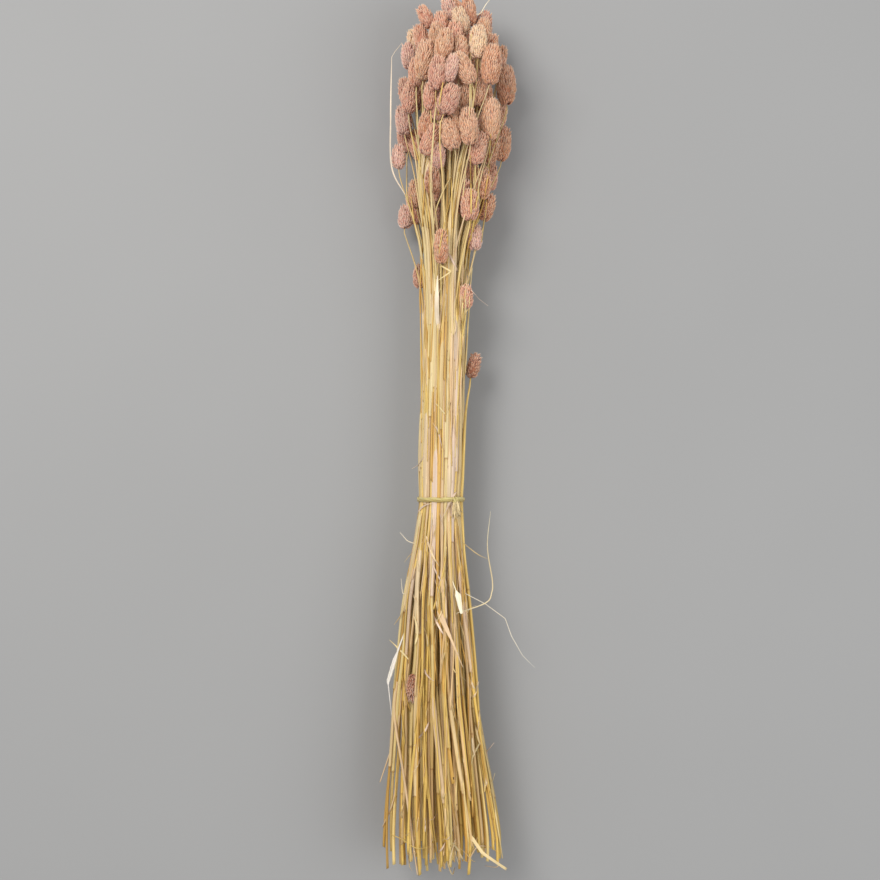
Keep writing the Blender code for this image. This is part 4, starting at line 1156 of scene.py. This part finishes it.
def straw_route(bunch, plant):
    """A straw's stations and its smoothed middle at each, from its cut end to its head."""
    foot, neck = bunch.cut_along[plant], bunch.base_along[plant]
    rows = np.flatnonzero((STATIONS > foot - STATION_STEP) & (STATIONS < neck - LAST_STATION))
    place = bunch.place[rows, plant]
    for _ in range(SMOOTHING):
        place = np.concatenate([place[:1], averaged(place), place[-1:]])
    below = ramp(TIE_ALONG - STATIONS[rows], SWAY_GROWS)[:, None]
    phase = bunch.twist[plant] * np.array(SWAY_PHASES)
    place = place + below * SWAY * np.sin(STATIONS[rows, None] / SWAY_PITCH + phase)
    tied = bell(STATIONS[rows] - TIE_ALONG, PINCH_REACH)[:, None]
    middle = np.array((float(outline_at(TIE_ALONG)[0]), AXIS_HEIGHT))
    place = place + (middle - place) * PINCH * tied
    base = bunch.head_base(plant)
    alongs = np.append(STATIONS[rows], base.y)
    return alongs, np.concatenate([place, [(base.x, base.z)]])


def joints_of(foot, neck, draw):
    """Where a straw's joints lie, and from where to where each of its sheaths reaches."""
    joint = foot + draw.uniform(*FIRST_JOINT)
    joints, sheaths = [], []
    while joint < neck - JOINTLESS:
        joints.append(joint)
        stretch = draw.uniform(*JOINT_PITCH)
        if draw.random() < SHEATHED:
            sheaths.append((joint, joint + stretch * draw.uniform(*SHEATH_REACH)))
        joint += stretch
    return joints, sheaths


def straw_rows(foot, neck, joints, sheaths, pitch):
    """Where a straw has its sections: they are closer at its joints and at torn sheaths."""
    rows = list(np.arange(foot, neck - 2 * MM, pitch))
    rows += [joint + step * MM for joint in joints for step in JOINT_ROWS]
    rows += [end + step * MM for _, end in sheaths for step in TEAR_ROWS]
    return np.unique(np.round([r for r in rows if foot <= r < neck - 1 * MM] + [neck], 6))


def weathered(tints, rows):
    """A straw's tints, more golden towards its cut end and paler towards its head."""
    golden = ramp(GOLDEN_BELOW - rows, GOLDEN_FADE)[:, None, None]
    pale = PALE_SHARE * ramp(rows - PALE_ABOVE, PALE_FADE)[:, None, None]
    return blend(tints * (1 - golden * GOLDEN), PALE_STEM, pale)


def widened(offsets, centres, wide):
    """A straw's sections, wider round the bundle where its sheaths lie flat on it."""
    out = unit(centres[:, [0, 2]] - on_axis(outline_at(centres[:, 1])[0]))
    around = np.stack([out[:, 1], out[:, 0]], 1)[:, None]
    return offsets + around * (offsets * around).sum(axis=2, keepdims=True) * wide[:, None, None]


def with_cut_end(centres, offsets, tints):
    """A straw's sections with those of its cut end: the wall's rim, and the hollow behind it,
    darker at its bottom with painted shade.
    """
    hollow = offsets[:1] * HOLLOW
    rim = np.ones((1, offsets.shape[1], 1)) * CUT
    centres = np.concatenate([centres[:1] + (0, HOLLOW_DEPTH, 0), centres[:1], centres])
    offsets = np.concatenate([hollow, hollow, offsets])
    # The hollow's bottom takes painted shade: the cut end's tone darkened.
    return centres, offsets, np.concatenate([rim * HOLLOW_PAINTED_SHADE, rim, tints])


def add_straw(piece, bunch, plant, draw, sides, pitch):
    """A hollow straw with its joints, its leaf sheaths and its cut end."""
    foot, neck = bunch.cut_along[plant], bunch.base_along[plant]
    alongs, places = straw_route(bunch, plant)
    tone = STRAWS[np.searchsorted(np.cumsum([s[0] for s in STRAWS])[:-1], draw.random())][1]
    sheath_tone = SHEATH[draw.integers(len(SHEATH))]
    joints, sheaths = joints_of(foot, neck, draw)
    rows = straw_rows(foot, neck, joints, sheaths, pitch)
    centres = np.stack([np.interp(rows, alongs, places[:, 0]), rows,
                        np.interp(rows, alongs, places[:, 1])], 1)
    size = stem_radius(rows, neck) * draw.uniform(*STRAW_SIZES)
    size = size * np.interp(rows, *np.transpose(STRAW_TAPER))
    turns = turns_of(sides)
    ring = circle(turns, 1 + draw.uniform(-STRAW_RIBS, STRAW_RIBS, sides))
    tints = np.tile(tone * draw.uniform(*STRAW_SHADE), (len(rows), sides, 1))
    wide = np.zeros(len(rows))
    for start, end in sheaths:
        torn = end + TEAR * np.cos(turns + draw.uniform(*PHASE))
        inside = (rows[:, None] >= start) & (rows[:, None] < torn)
        size = size + np.where(inside.any(axis=1), SHEATH_THICKNESS, 0)
        tints = np.where(inside[..., None], sheath_tone, tints)
        fade = ramp(rows - start, SHEATH_WIDENS) * ramp(end - rows, SHEATH_NARROWS)
        wide = np.maximum(wide, fade * SHEATH_SPREAD * draw.uniform(*SPREAD_SHARE))
    for joint in joints:
        size = size * (1 + JOINT_SWELL * bell(rows - joint, JOINT_REACH))
        dark = bell(rows - joint + DARK_BELOW, DARK_REACH)[:, None, None]
        tints = blend(tints, JOINT, JOINT_DARK * dark)
    offsets = widened(ring[None] * size[:, None, None], centres, wide)
    centres, offsets, tints = with_cut_end(centres, offsets, weathered(tints, rows))
    count = len(centres)
    left, ups = np.tile((-1.0, 0, 0), (count, 1)), np.tile((0, 0, 1.0), (count, 1))
    slant = np.zeros((count, sides))
    slant[1:3] = draw.uniform(-CUT_SLANT, CUT_SLANT) * ring[:, 0] * size[0]
    add_swept(piece, centres, left, ups, offsets, tints, draw.uniform(*SEEDS))
    piece.points[-1][:, 1] += slant.ravel()


def top_at(bunch, across, along):
    """How high the bundle reaches at a spot seen from above."""
    row = int(round(along / STATION_STEP))
    here = bunch.is_stem[row] | bunch.is_head[row]
    off = (across - bunch.place[row, here, 0]) / (bunch.girth[row, here] + BESIDE)
    rise = bunch.place[row, here, 1] + bunch.girth[row, here] * np.sqrt(np.maximum(1 - off**2, 0))
    rise = rise[np.abs(off) < 1]
    return float(rise.max()) if len(rise) else AXIS_HEIGHT


def ribbon_section(width):
    """A thin cupped section, wide and closed."""
    x = np.linspace(-0.5, 0.5, RIBBON_POINTS)
    top = np.stack([x * width, BLADE_CUP * width * 4 * x**2 + BLADE_THICKNESS / 2], 1)
    return np.concatenate([top, top[::-1] - (0, BLADE_THICKNESS)])


def add_blade(piece, route, width, tone, draw, twist, form="leaf"):
    """A dry leaf blade: a thin cupped ribbon, a little ragged, that may twist."""
    kinked, places, widths = BLADE_FORMS[form]
    centres = (straight_route if kinked else smooth_route)(route, BLADE_PITCH)
    sides, ups = frames(centres)
    share = np.linspace(0, 1, len(centres))
    swell = np.interp(share, places, widths) * (1 + draw.normal(0, RAGGED, len(centres)))
    wave = np.sin(share * draw.uniform(*BLADE_WAVES) + draw.uniform(*PHASE))
    angle = twist * share + BLADE_WAVE * wave
    offsets = np.stack([ribbon_section(width * s) for s in swell])
    cos, sin = np.cos(angle)[:, None], np.sin(angle)[:, None]
    offsets = np.stack([offsets[..., 0] * cos - offsets[..., 1] * sin,
                        offsets[..., 0] * sin + offsets[..., 1] * cos], -1)
    tints = banded(tone, share, BLADE_BANDS, draw)
    add_swept(piece, centres, sides, ups, offsets, tints, draw.uniform(*SEEDS))


def add_wisp(piece, route, radius, tone, draw, sides=6):
    """A thin round straw or fibre along a route, fine at its ends."""
    centres = smooth_route(route, WISP_PITCH)
    side_ways, ups = frames(centres)
    share = np.linspace(0, 1, len(centres))
    size = radius * np.interp(share, *WISP_TAPER)
    offsets = circle(turns_of(sides))[None] * size[:, None, None]
    tints = banded(tone, share, WISP_BANDS, draw)
    add_swept(piece, centres, side_ways, ups, offsets, tints, draw.uniform(*SEEDS))


def laid_route(bunch, points):
    """A route over the bundle, from (across, along, lift over what lies there) in millimetres."""
    made = []
    for across, along, lift in points:
        across, along = across * MM, along * MM
        made.append((across, along, top_at(bunch, across, along) + lift * MM))
    return made


def make_heads(bunch, draw, material):
    """One piece for each node of heads."""
    hidden_tones = draw.choice(list(HIDDEN_TONES), bunch.count)
    for number, plants in enumerate(bunch.groups, 1):
        piece = Piece(f"seed_heads_{number:02d}")
        for plant in plants:
            name = SHOWN_TONES[plant] if plant < bunch.shown else hidden_tones[plant]
            add_head(piece, bunch, plant, draw, TONES[str(name)] * draw.uniform(*HEAD_SHADE))
            if plant == AWN[0]:
                add_awn(piece, bunch, draw)
        piece.finish(material, "seed_head", f"heads_{number:02d}")


def add_awn(piece, bunch, draw):
    """A long thin spike that stands out of the top of the bundle."""
    plant, radius, points = AWN
    height = bunch.centre[plant, 2]
    route = [(x * MM, y * MM, height + z * MM) for x, y, z in points]
    route[0] = tuple(bunch.centre[plant])
    add_wisp(piece, route, radius * AWN_SLIMMED * MM, AWN_TONE, draw)


def make_straws(bunch, draw, material):
    """The straws, those of the rim finer than those inside it."""
    outer, inner = Piece("straws_outer"), Piece("straws_inner")
    for plant in range(bunch.count):
        if bunch.cut_along[plant] > bunch.base_along[plant]:
            continue
        if plant in bunch.rim:
            add_straw(outer, bunch, plant, draw, *OUTER_SECTIONS)
        else:
            add_straw(inner, bunch, plant, draw, *INNER_SECTIONS)
    for piece in (outer, inner):
        piece.finish(material, "straw", "stalks")


def make_blades(bunch, draw, material):
    """The dry leaf blades and the torn shreds."""
    piece = Piece("leaf_blades")
    for number, (width, points) in enumerate(BLADES):
        narrower, tone, twist, form = BLADE_LOOKS[number]
        route = [Vector(p) * MM for p in BLADE_BENDS.get(number, points)]
        route[0] = bunch.nearest_stem(route[0])
        add_blade(piece, route, width * narrower * MM, srgb(*tone), draw, twist, form)
    for _ in range(SHREDS):
        add_shred(piece, bunch, draw)
    piece.finish(material, "straw")


def add_shred(piece, bunch, draw):
    """A torn shred of sheath that curls off the bundle."""
    along = draw.uniform(*SHRED_ALONG[int(draw.random() < SHREDS_ABOVE)])
    middle, half = outline_at(along * MM)
    across = middle / MM + half / MM * draw.uniform(-1, 1)
    heading = draw.normal(0, SHRED_HEADING) + math.pi * (draw.random() < SHREDS_DOWNWARDS)
    long, curl = draw.uniform(*SHRED_LENGTH), draw.normal(0, SHRED_CURL)
    points = [(across, along, SHRED_LIFTS[0])]
    for lift in SHRED_LIFTS[1:]:
        heading += curl + draw.normal(0, SHRED_KINK)
        across += long / 3 * math.sin(heading)
        along += long / 3 * math.cos(heading)
        points.append((across, along, lift * draw.uniform(*SHRED_RISE)))
    tone = SHEATH[draw.integers(len(SHEATH))] * draw.uniform(*SHRED_SHADE)
    width = draw.uniform(*SHRED_WIDTH) * MM
    add_blade(piece, laid_route(bunch, points), width, tone, draw, draw.normal(0, SHRED_TWIST))


def make_wisps(bunch, draw, material):
    """The loose wisps and the thin straws over the others."""
    piece = Piece("loose_wisps")
    for radius, points in WISPS:
        tone = STRAWS[draw.integers(WISP_TONES)][1]
        add_wisp(piece, laid_route(bunch, points), radius * MM, tone, draw)
    for low, high, number, drift in STRAY_STRAWS:
        for _ in range(number):
            add_stray_straw(piece, bunch, draw, low, high, drift)
    piece.finish(material, "straw")


def add_stray_straw(piece, bunch, draw, low, high, drift):
    """A thin straw that crosses the others at a slant."""
    start = draw.uniform(low, high - STRAY_LENGTH[0])
    alongs = np.arange(start, min(start + draw.uniform(*STRAY_LENGTH), high), STRAY_STEP)
    middle, half = outline_at(alongs * MM)
    share = draw.uniform(-STRAY_START, STRAY_START)
    share = share + draw.normal(0, drift) * np.linspace(0, 1, len(alongs))
    across = (middle + half * np.clip(share, -STRAY_REACH, STRAY_REACH)) / MM
    lift = draw.uniform(*STRAY_LIFT)
    points = [(x, y, lift) for x, y in zip(across, alongs)]
    tone = STRAWS[draw.integers(len(STRAWS))][1] * draw.uniform(*STRAY_SHADE)
    golden = STRAY_GOLDEN * ramp(GOLDEN_BELOW - start * MM, GOLDEN_FADE) * np.array(GOLDEN)
    radius = draw.uniform(*STRAY_RADIUS) * MM
    add_wisp(piece, laid_route(bunch, points), radius, tone * (1 - golden), draw)


def make_tie(bunch, draw, material):
    """The tie: strands twisted into a cord round the waist, its knot and its frayed tails."""
    piece = Piece("tie_strands")
    centre = np.array((float(outline_at(TIE_ALONG)[0]), TIE_ALONG, AXIS_HEIGHT))
    angles = turns_of(TIE_STEPS)
    outs = np.stack([np.cos(angles), np.zeros(TIE_STEPS), np.sin(angles)], 1)
    reach = tie_reach(bunch, centre, outs)
    for strand in range(STRANDS):
        add_strand(piece, centre, angles, outs, reach, strand)
    out = np.array((math.cos(KNOT_ANGLE), 0, math.sin(KNOT_ANGLE)))
    side = np.array((-out[2], 0, out[0]))
    seat = centre + out * (np.interp(KNOT_ANGLE, angles, reach) + KNOT_LIFT)
    for loop in KNOT_LOOPS:
        add_loop(piece, seat, side, out, loop, draw)
    for tail in TAILS:
        for fibre in range(TAIL_FIBRES):
            add_tail_fibre(piece, seat, side, out, tail, fibre < TAIL_RIBBONS, draw)
    piece.finish(material, "twine", "tie")


def tie_reach(bunch, centre, outs):
    """How far the straws reach from the tie's centre, each way out of it, smoothed round it."""
    row = int(TIE_ALONG / STATION_STEP)
    places = bunch.place[row, bunch.rim] - centre[[0, 2]]
    girths = bunch.girth[row, bunch.rim]
    reach = outs[:, None, 0] * places[:, 0] + outs[:, None, 2] * places[:, 1] + girths
    reach = reach.max(axis=1)
    padded = np.concatenate([reach[-TIE_SMOOTHING:], reach, reach[:TIE_SMOOTHING]])
    span = 2 * TIE_SMOOTHING + 1
    return np.convolve(padded, np.ones(span) / span, "valid")


def add_strand(piece, centre, angles, outs, reach, strand):
    """One strand of the cord, which winds round the others as it goes round the bundle."""
    phase = TIE_TWISTS * angles + math.tau * strand / STRANDS
    rise = reach + TIE_LIFT + TIE_SWELL * np.cos(phase)
    centres = centre + outs * rise[:, None] + ALONG * (TIE_WAVE * np.sin(phase))[:, None]
    centres = np.concatenate([centres, centres[:1]])
    ups = np.concatenate([outs, outs[:1]])
    turns = turns_of(STRAND_SIDES)
    ring = circle(turns, 1 + STRAND_RIBS[0] * np.cos(STRAND_RIBS[1] * turns)) * STRAND_SIZE
    offsets = np.tile(ring, (len(centres), 1, 1))
    # Painted light and shade: a strand takes the highlight tone where it winds to the heads' side
    # of the cord, and the shade tone on the cut ends' side.
    height = np.concatenate([np.sin(phase), np.sin(phase[:1])])[:, None]
    light, plain, dark = TWINE_LIT_PLAIN_SHADED
    tints = plain + (light - plain) * np.clip(height, 0, 1)
    tints = tints + (dark - plain) * np.clip(-height, 0, 1)
    sides = np.tile(ALONG, (len(centres), 1))
    add_swept(piece, centres, sides, ups, offsets, tints, strand, close=False)


def add_loop(piece, seat, side, out, loop, draw):
    """One loop of the knot."""
    shift, lean, size = loop
    route = [
        seat + side * (shift + lean * math.cos(t)) * MM
        + ALONG * size * LOOP_LENGTH * MM * math.cos(t) + out * size * LOOP_RISE * MM * math.sin(t)
        for t in np.linspace(0, math.tau, LOOP_POINTS)
    ]
    # Painted light: the loops take the cord's highlight tone, lighter still, as the raised knot
    # catches the light.
    add_wisp(piece, route, LOOP_RADIUS, TWINE_LIT_PLAIN_SHADED[0] * LOOP_PAINTED_HIGHLIGHT, draw, LOOP_SIDES)


def add_tail_fibre(piece, seat, side, out, tail, ribbon, draw):
    """One fibre of a frayed tail, a ribbon or a thin round one."""
    spread = draw.normal(0, 1, 3)
    route = [seat]
    for step, (a, b, rise) in enumerate(tail, 1):
        fan = TAIL_FAN * step * MM * spread
        route.append(seat + side * (a * MM + fan[0]) + ALONG * (TAIL_STRETCH * b * MM + fan[1])
                     + out * ((rise + TAIL_LIFT) * MM + FAN_RISE * fan[2]))
    tone = TAIL_TONE * draw.uniform(*TAIL_SHADE)
    if ribbon:
        width = draw.uniform(*TAIL_WIDTH) * MM
        add_blade(piece, route, width, tone, draw, draw.normal(0, TAIL_TWIST))
    else:
        add_wisp(piece, route, draw.uniform(*TAIL_RADIUS) * MM, tone, draw, FIBRE_SIDES)


class Nodes:
    """A short way to lay out a material's nodes."""

    def __init__(self, name):
        self.material = bpy.data.materials.new(name)
        self.material.use_nodes = True
        self.tree = self.material.node_tree
        self.surface = self.tree.nodes["Principled BSDF"]

    def add(self, kind, settings=None, **inputs):
        """A new node with its settings and inputs."""
        node = self.tree.nodes.new("ShaderNode" + kind)
        for key, value in (settings or {}).items():
            setattr(node, key, value)
        for key, value in inputs.items():
            self.put(node.inputs[key.replace("_", " ")], value)
        return node

    def put(self, socket, value):
        """Links an output to a socket, or sets the socket's own value."""
        if isinstance(value, bpy.types.NodeSocket):
            self.tree.links.new(value, socket)
        else:
            socket.default_value = value

    def attribute(self, name, output):
        """What the mesh holds under a name."""
        return self.add("Attribute", {"attribute_name": name}).outputs[output]

    def noise(self, place, stretch, detail, rough=0.6):
        """Noise with its own scale along each axis of a place."""
        moved = self.add("Mapping", Vector=place, Scale=stretch).outputs[0]
        made = self.add("TexNoise", Vector=moved, Scale=1.0, Detail=detail, Roughness=rough)
        return made.outputs["Fac"]

    def spread(self, value, low, high, start=0.3, end=0.7):
        """Maps a value's range onto another."""
        node = self.add("MapRange", From_Min=start, From_Max=end, To_Min=low, To_Max=high)
        self.put(node.inputs["Value"], value)
        return node.outputs[0]

    def times(self, colour, value):
        """A colour made lighter or darker."""
        node = self.add("VectorMath", {"operation": "SCALE"}, Scale=value)
        self.put(node.inputs[0], colour)
        return node.outputs[0]

    def mixed(self, share, first, second):
        """Two colours mixed, the second of them the same everywhere."""
        node = self.add("Mix", {"data_type": "RGBA"})
        for socket, value in ((0, share), (6, first), (7, (*second, 1))):
            self.put(node.inputs[socket], value)
        return node.outputs[2]

    def finish(self, colour, roughness, constants, bump=None):
        """Sets the surface and its bump (height, strength, distance), and gives the material."""
        self.put(self.surface.inputs["Base Color"], colour)
        self.put(self.surface.inputs["Roughness"], roughness)
        for name, value in constants.items():
            self.surface.inputs[name].default_value = value
        if bump:
            height, strength, distance = bump
            node = self.add("Bump", Height=height, Strength=strength, Distance=distance)
            self.put(self.surface.inputs["Normal"], node.outputs[0])
        return self.material


def husk_material():
    """Papery husks: fine veins along each glume, mottled, matte and soft."""
    nodes = Nodes("husk")
    tint = nodes.attribute("tint", "Color")
    grain = nodes.attribute("grain", "Vector")
    own = nodes.add("TexCoord").outputs["Object"]
    veins = nodes.noise(grain, (2600, 260, 40), 2.0)
    mottle = nodes.noise(own, (420, 420, 420), 3.0)
    patch = nodes.noise(own, (70, 70, 70), 2.0)
    colour = nodes.times(tint, nodes.spread(veins, 0.88, 1.12))
    colour = nodes.times(colour, nodes.spread(mottle, 0.9, 1.1))
    colour = nodes.mixed(nodes.spread(patch, 0.0, 0.2), colour, HUSK_PATCH)
    constants = {
        "Sheen Weight": 0.4, "Sheen Roughness": 0.45, "Specular IOR Level": 0.3,
        "Subsurface Weight": 0.45, "Subsurface Radius": (0.8, 0.66, 0.55),
        "Subsurface Scale": 1.6 * MM,
    }
    roughness = nodes.spread(mottle, 0.62, 0.82)
    return nodes.finish(colour, roughness, constants, (veins, 0.35, 0.3 * MM))


def straw_material(name, streak, blotch, roughness):
    """Dry straw: streaks along it, some brown blotches, a satin skin."""
    nodes = Nodes(name)
    tint = nodes.attribute("tint", "Color")
    grain = nodes.attribute("grain", "Vector")
    streaks = nodes.noise(grain, (2400, 22, 2400), 4.0)
    bands = nodes.noise(grain, (420, 9, 420), 2.0)
    spots = nodes.noise(grain, (500, 130, 500), 3.0, rough=0.7)
    colour = nodes.times(tint, nodes.spread(streaks, 1 - streak, 1 + 0.6 * streak))
    brown = nodes.spread(bands, 0.0, 0.3, start=0.45, end=0.75)
    colour = nodes.mixed(brown, colour, STRAW_BAND)
    dark = nodes.spread(spots, 0.0, blotch, start=0.6, end=0.8)
    colour = nodes.mixed(dark, colour, STRAW_SPOT)
    skin = nodes.spread(streaks, roughness - 0.08, roughness + 0.1)
    return nodes.finish(colour, skin, {"Specular IOR Level": 0.45}, (streaks, 0.4, 0.25 * MM))


def twine_material():
    """Twisted straw fibre: fine fibres along each strand, rough and matte."""
    nodes = Nodes("twine")
    tint = nodes.attribute("tint", "Color")
    grain = nodes.attribute("grain", "Vector")
    fibres = nodes.noise(grain, (3200, 120, 3200), 4.0)
    worn = nodes.noise(grain, (300, 90, 300), 2.0)
    colour = nodes.times(tint, nodes.spread(fibres, 0.62, 1.2))
    worn = nodes.spread(worn, 0.0, 0.4, start=0.45, end=0.75)
    colour = nodes.mixed(worn, colour, TWINE_WORN)
    roughness = nodes.spread(fibres, 0.6, 0.85)
    return nodes.finish(colour, roughness, {"Sheen Weight": 0.2}, (fibres, 0.6, 0.3 * MM))


def floor_material():
    """A pale grey surface, almost even."""
    nodes = Nodes("floor")
    own = nodes.add("TexCoord").outputs["Object"]
    cloud = nodes.noise(own, (3, 3, 3), 2.0)
    colour = nodes.times(FLOOR_GREY, nodes.spread(cloud, 0.985, 1.015))
    return nodes.finish(colour, 0.9, {"Specular IOR Level": 0.2})


def make_floor():
    """The surface that the bundle lies on."""
    mesh = bpy.data.meshes.new("floor")
    corners = [(x * FLOOR_HALF, y * FLOOR_HALF, 0) for x, y in ((-1, -1), (1, -1), (1, 1), (-1, 1))]
    mesh.from_pydata(corners, [], [(0, 1, 2, 3)])
    mesh.materials.append(floor_material())
    floor = bpy.data.objects.new("floor", mesh)
    bpy.context.scene.collection.objects.link(floor)


def make_light(name, place, size, power, tint):
    """A square soft light that faces the bundle's middle."""
    light = bpy.data.lights.new(name, "AREA")
    light.size, light.energy, light.color = size, power, tint
    lamp = bpy.data.objects.new(name, light)
    lamp.location = place
    lamp.rotation_euler = (-Vector(place)).to_track_quat("-Z", "Y").to_euler()
    bpy.context.scene.collection.objects.link(lamp)


def light_and_camera():
    """Soft studio light, and a camera that looks straight down on the bundle."""
    for light in LIGHTS:
        make_light(*light)
    world = bpy.data.worlds.new("studio")
    bpy.context.scene.world = world
    world.use_nodes = True
    backdrop = world.node_tree.nodes["Background"]
    backdrop.inputs["Color"].default_value = (1, 1, 1, 1)
    backdrop.inputs["Strength"].default_value = AMBIENT
    bpy.context.scene.view_settings.view_transform = "Standard"
    lens = bpy.data.cameras.new("camera")
    lens.angle = 2 * math.atan(VIEW_WIDTH / 2 / CAMERA_DISTANCE)
    camera = bpy.data.objects.new("camera", lens)
    camera.location = Vector(VIEW_MIDDLE) - Vector(LAYOUT_MIDDLE) + Vector((0, 0, CAMERA_DISTANCE))
    bpy.context.scene.collection.objects.link(camera)
    bpy.context.scene.camera = camera


def main():
    """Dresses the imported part."""
    bunch = Bunch().settle()
    draw = np.random.default_rng(LOOKS_SEED)
    straw = straw_material("straw", streak=0.44, blotch=0.65, roughness=0.42)
    leaf = straw_material("dry_leaf", streak=0.2, blotch=0.4, roughness=0.6)
    make_heads(bunch, draw, husk_material())
    make_straws(bunch, draw, straw)
    make_blades(bunch, draw, leaf)
    make_wisps(bunch, draw, leaf)
    make_tie(bunch, draw, twine_material())
    make_floor()
    light_and_camera()


main()
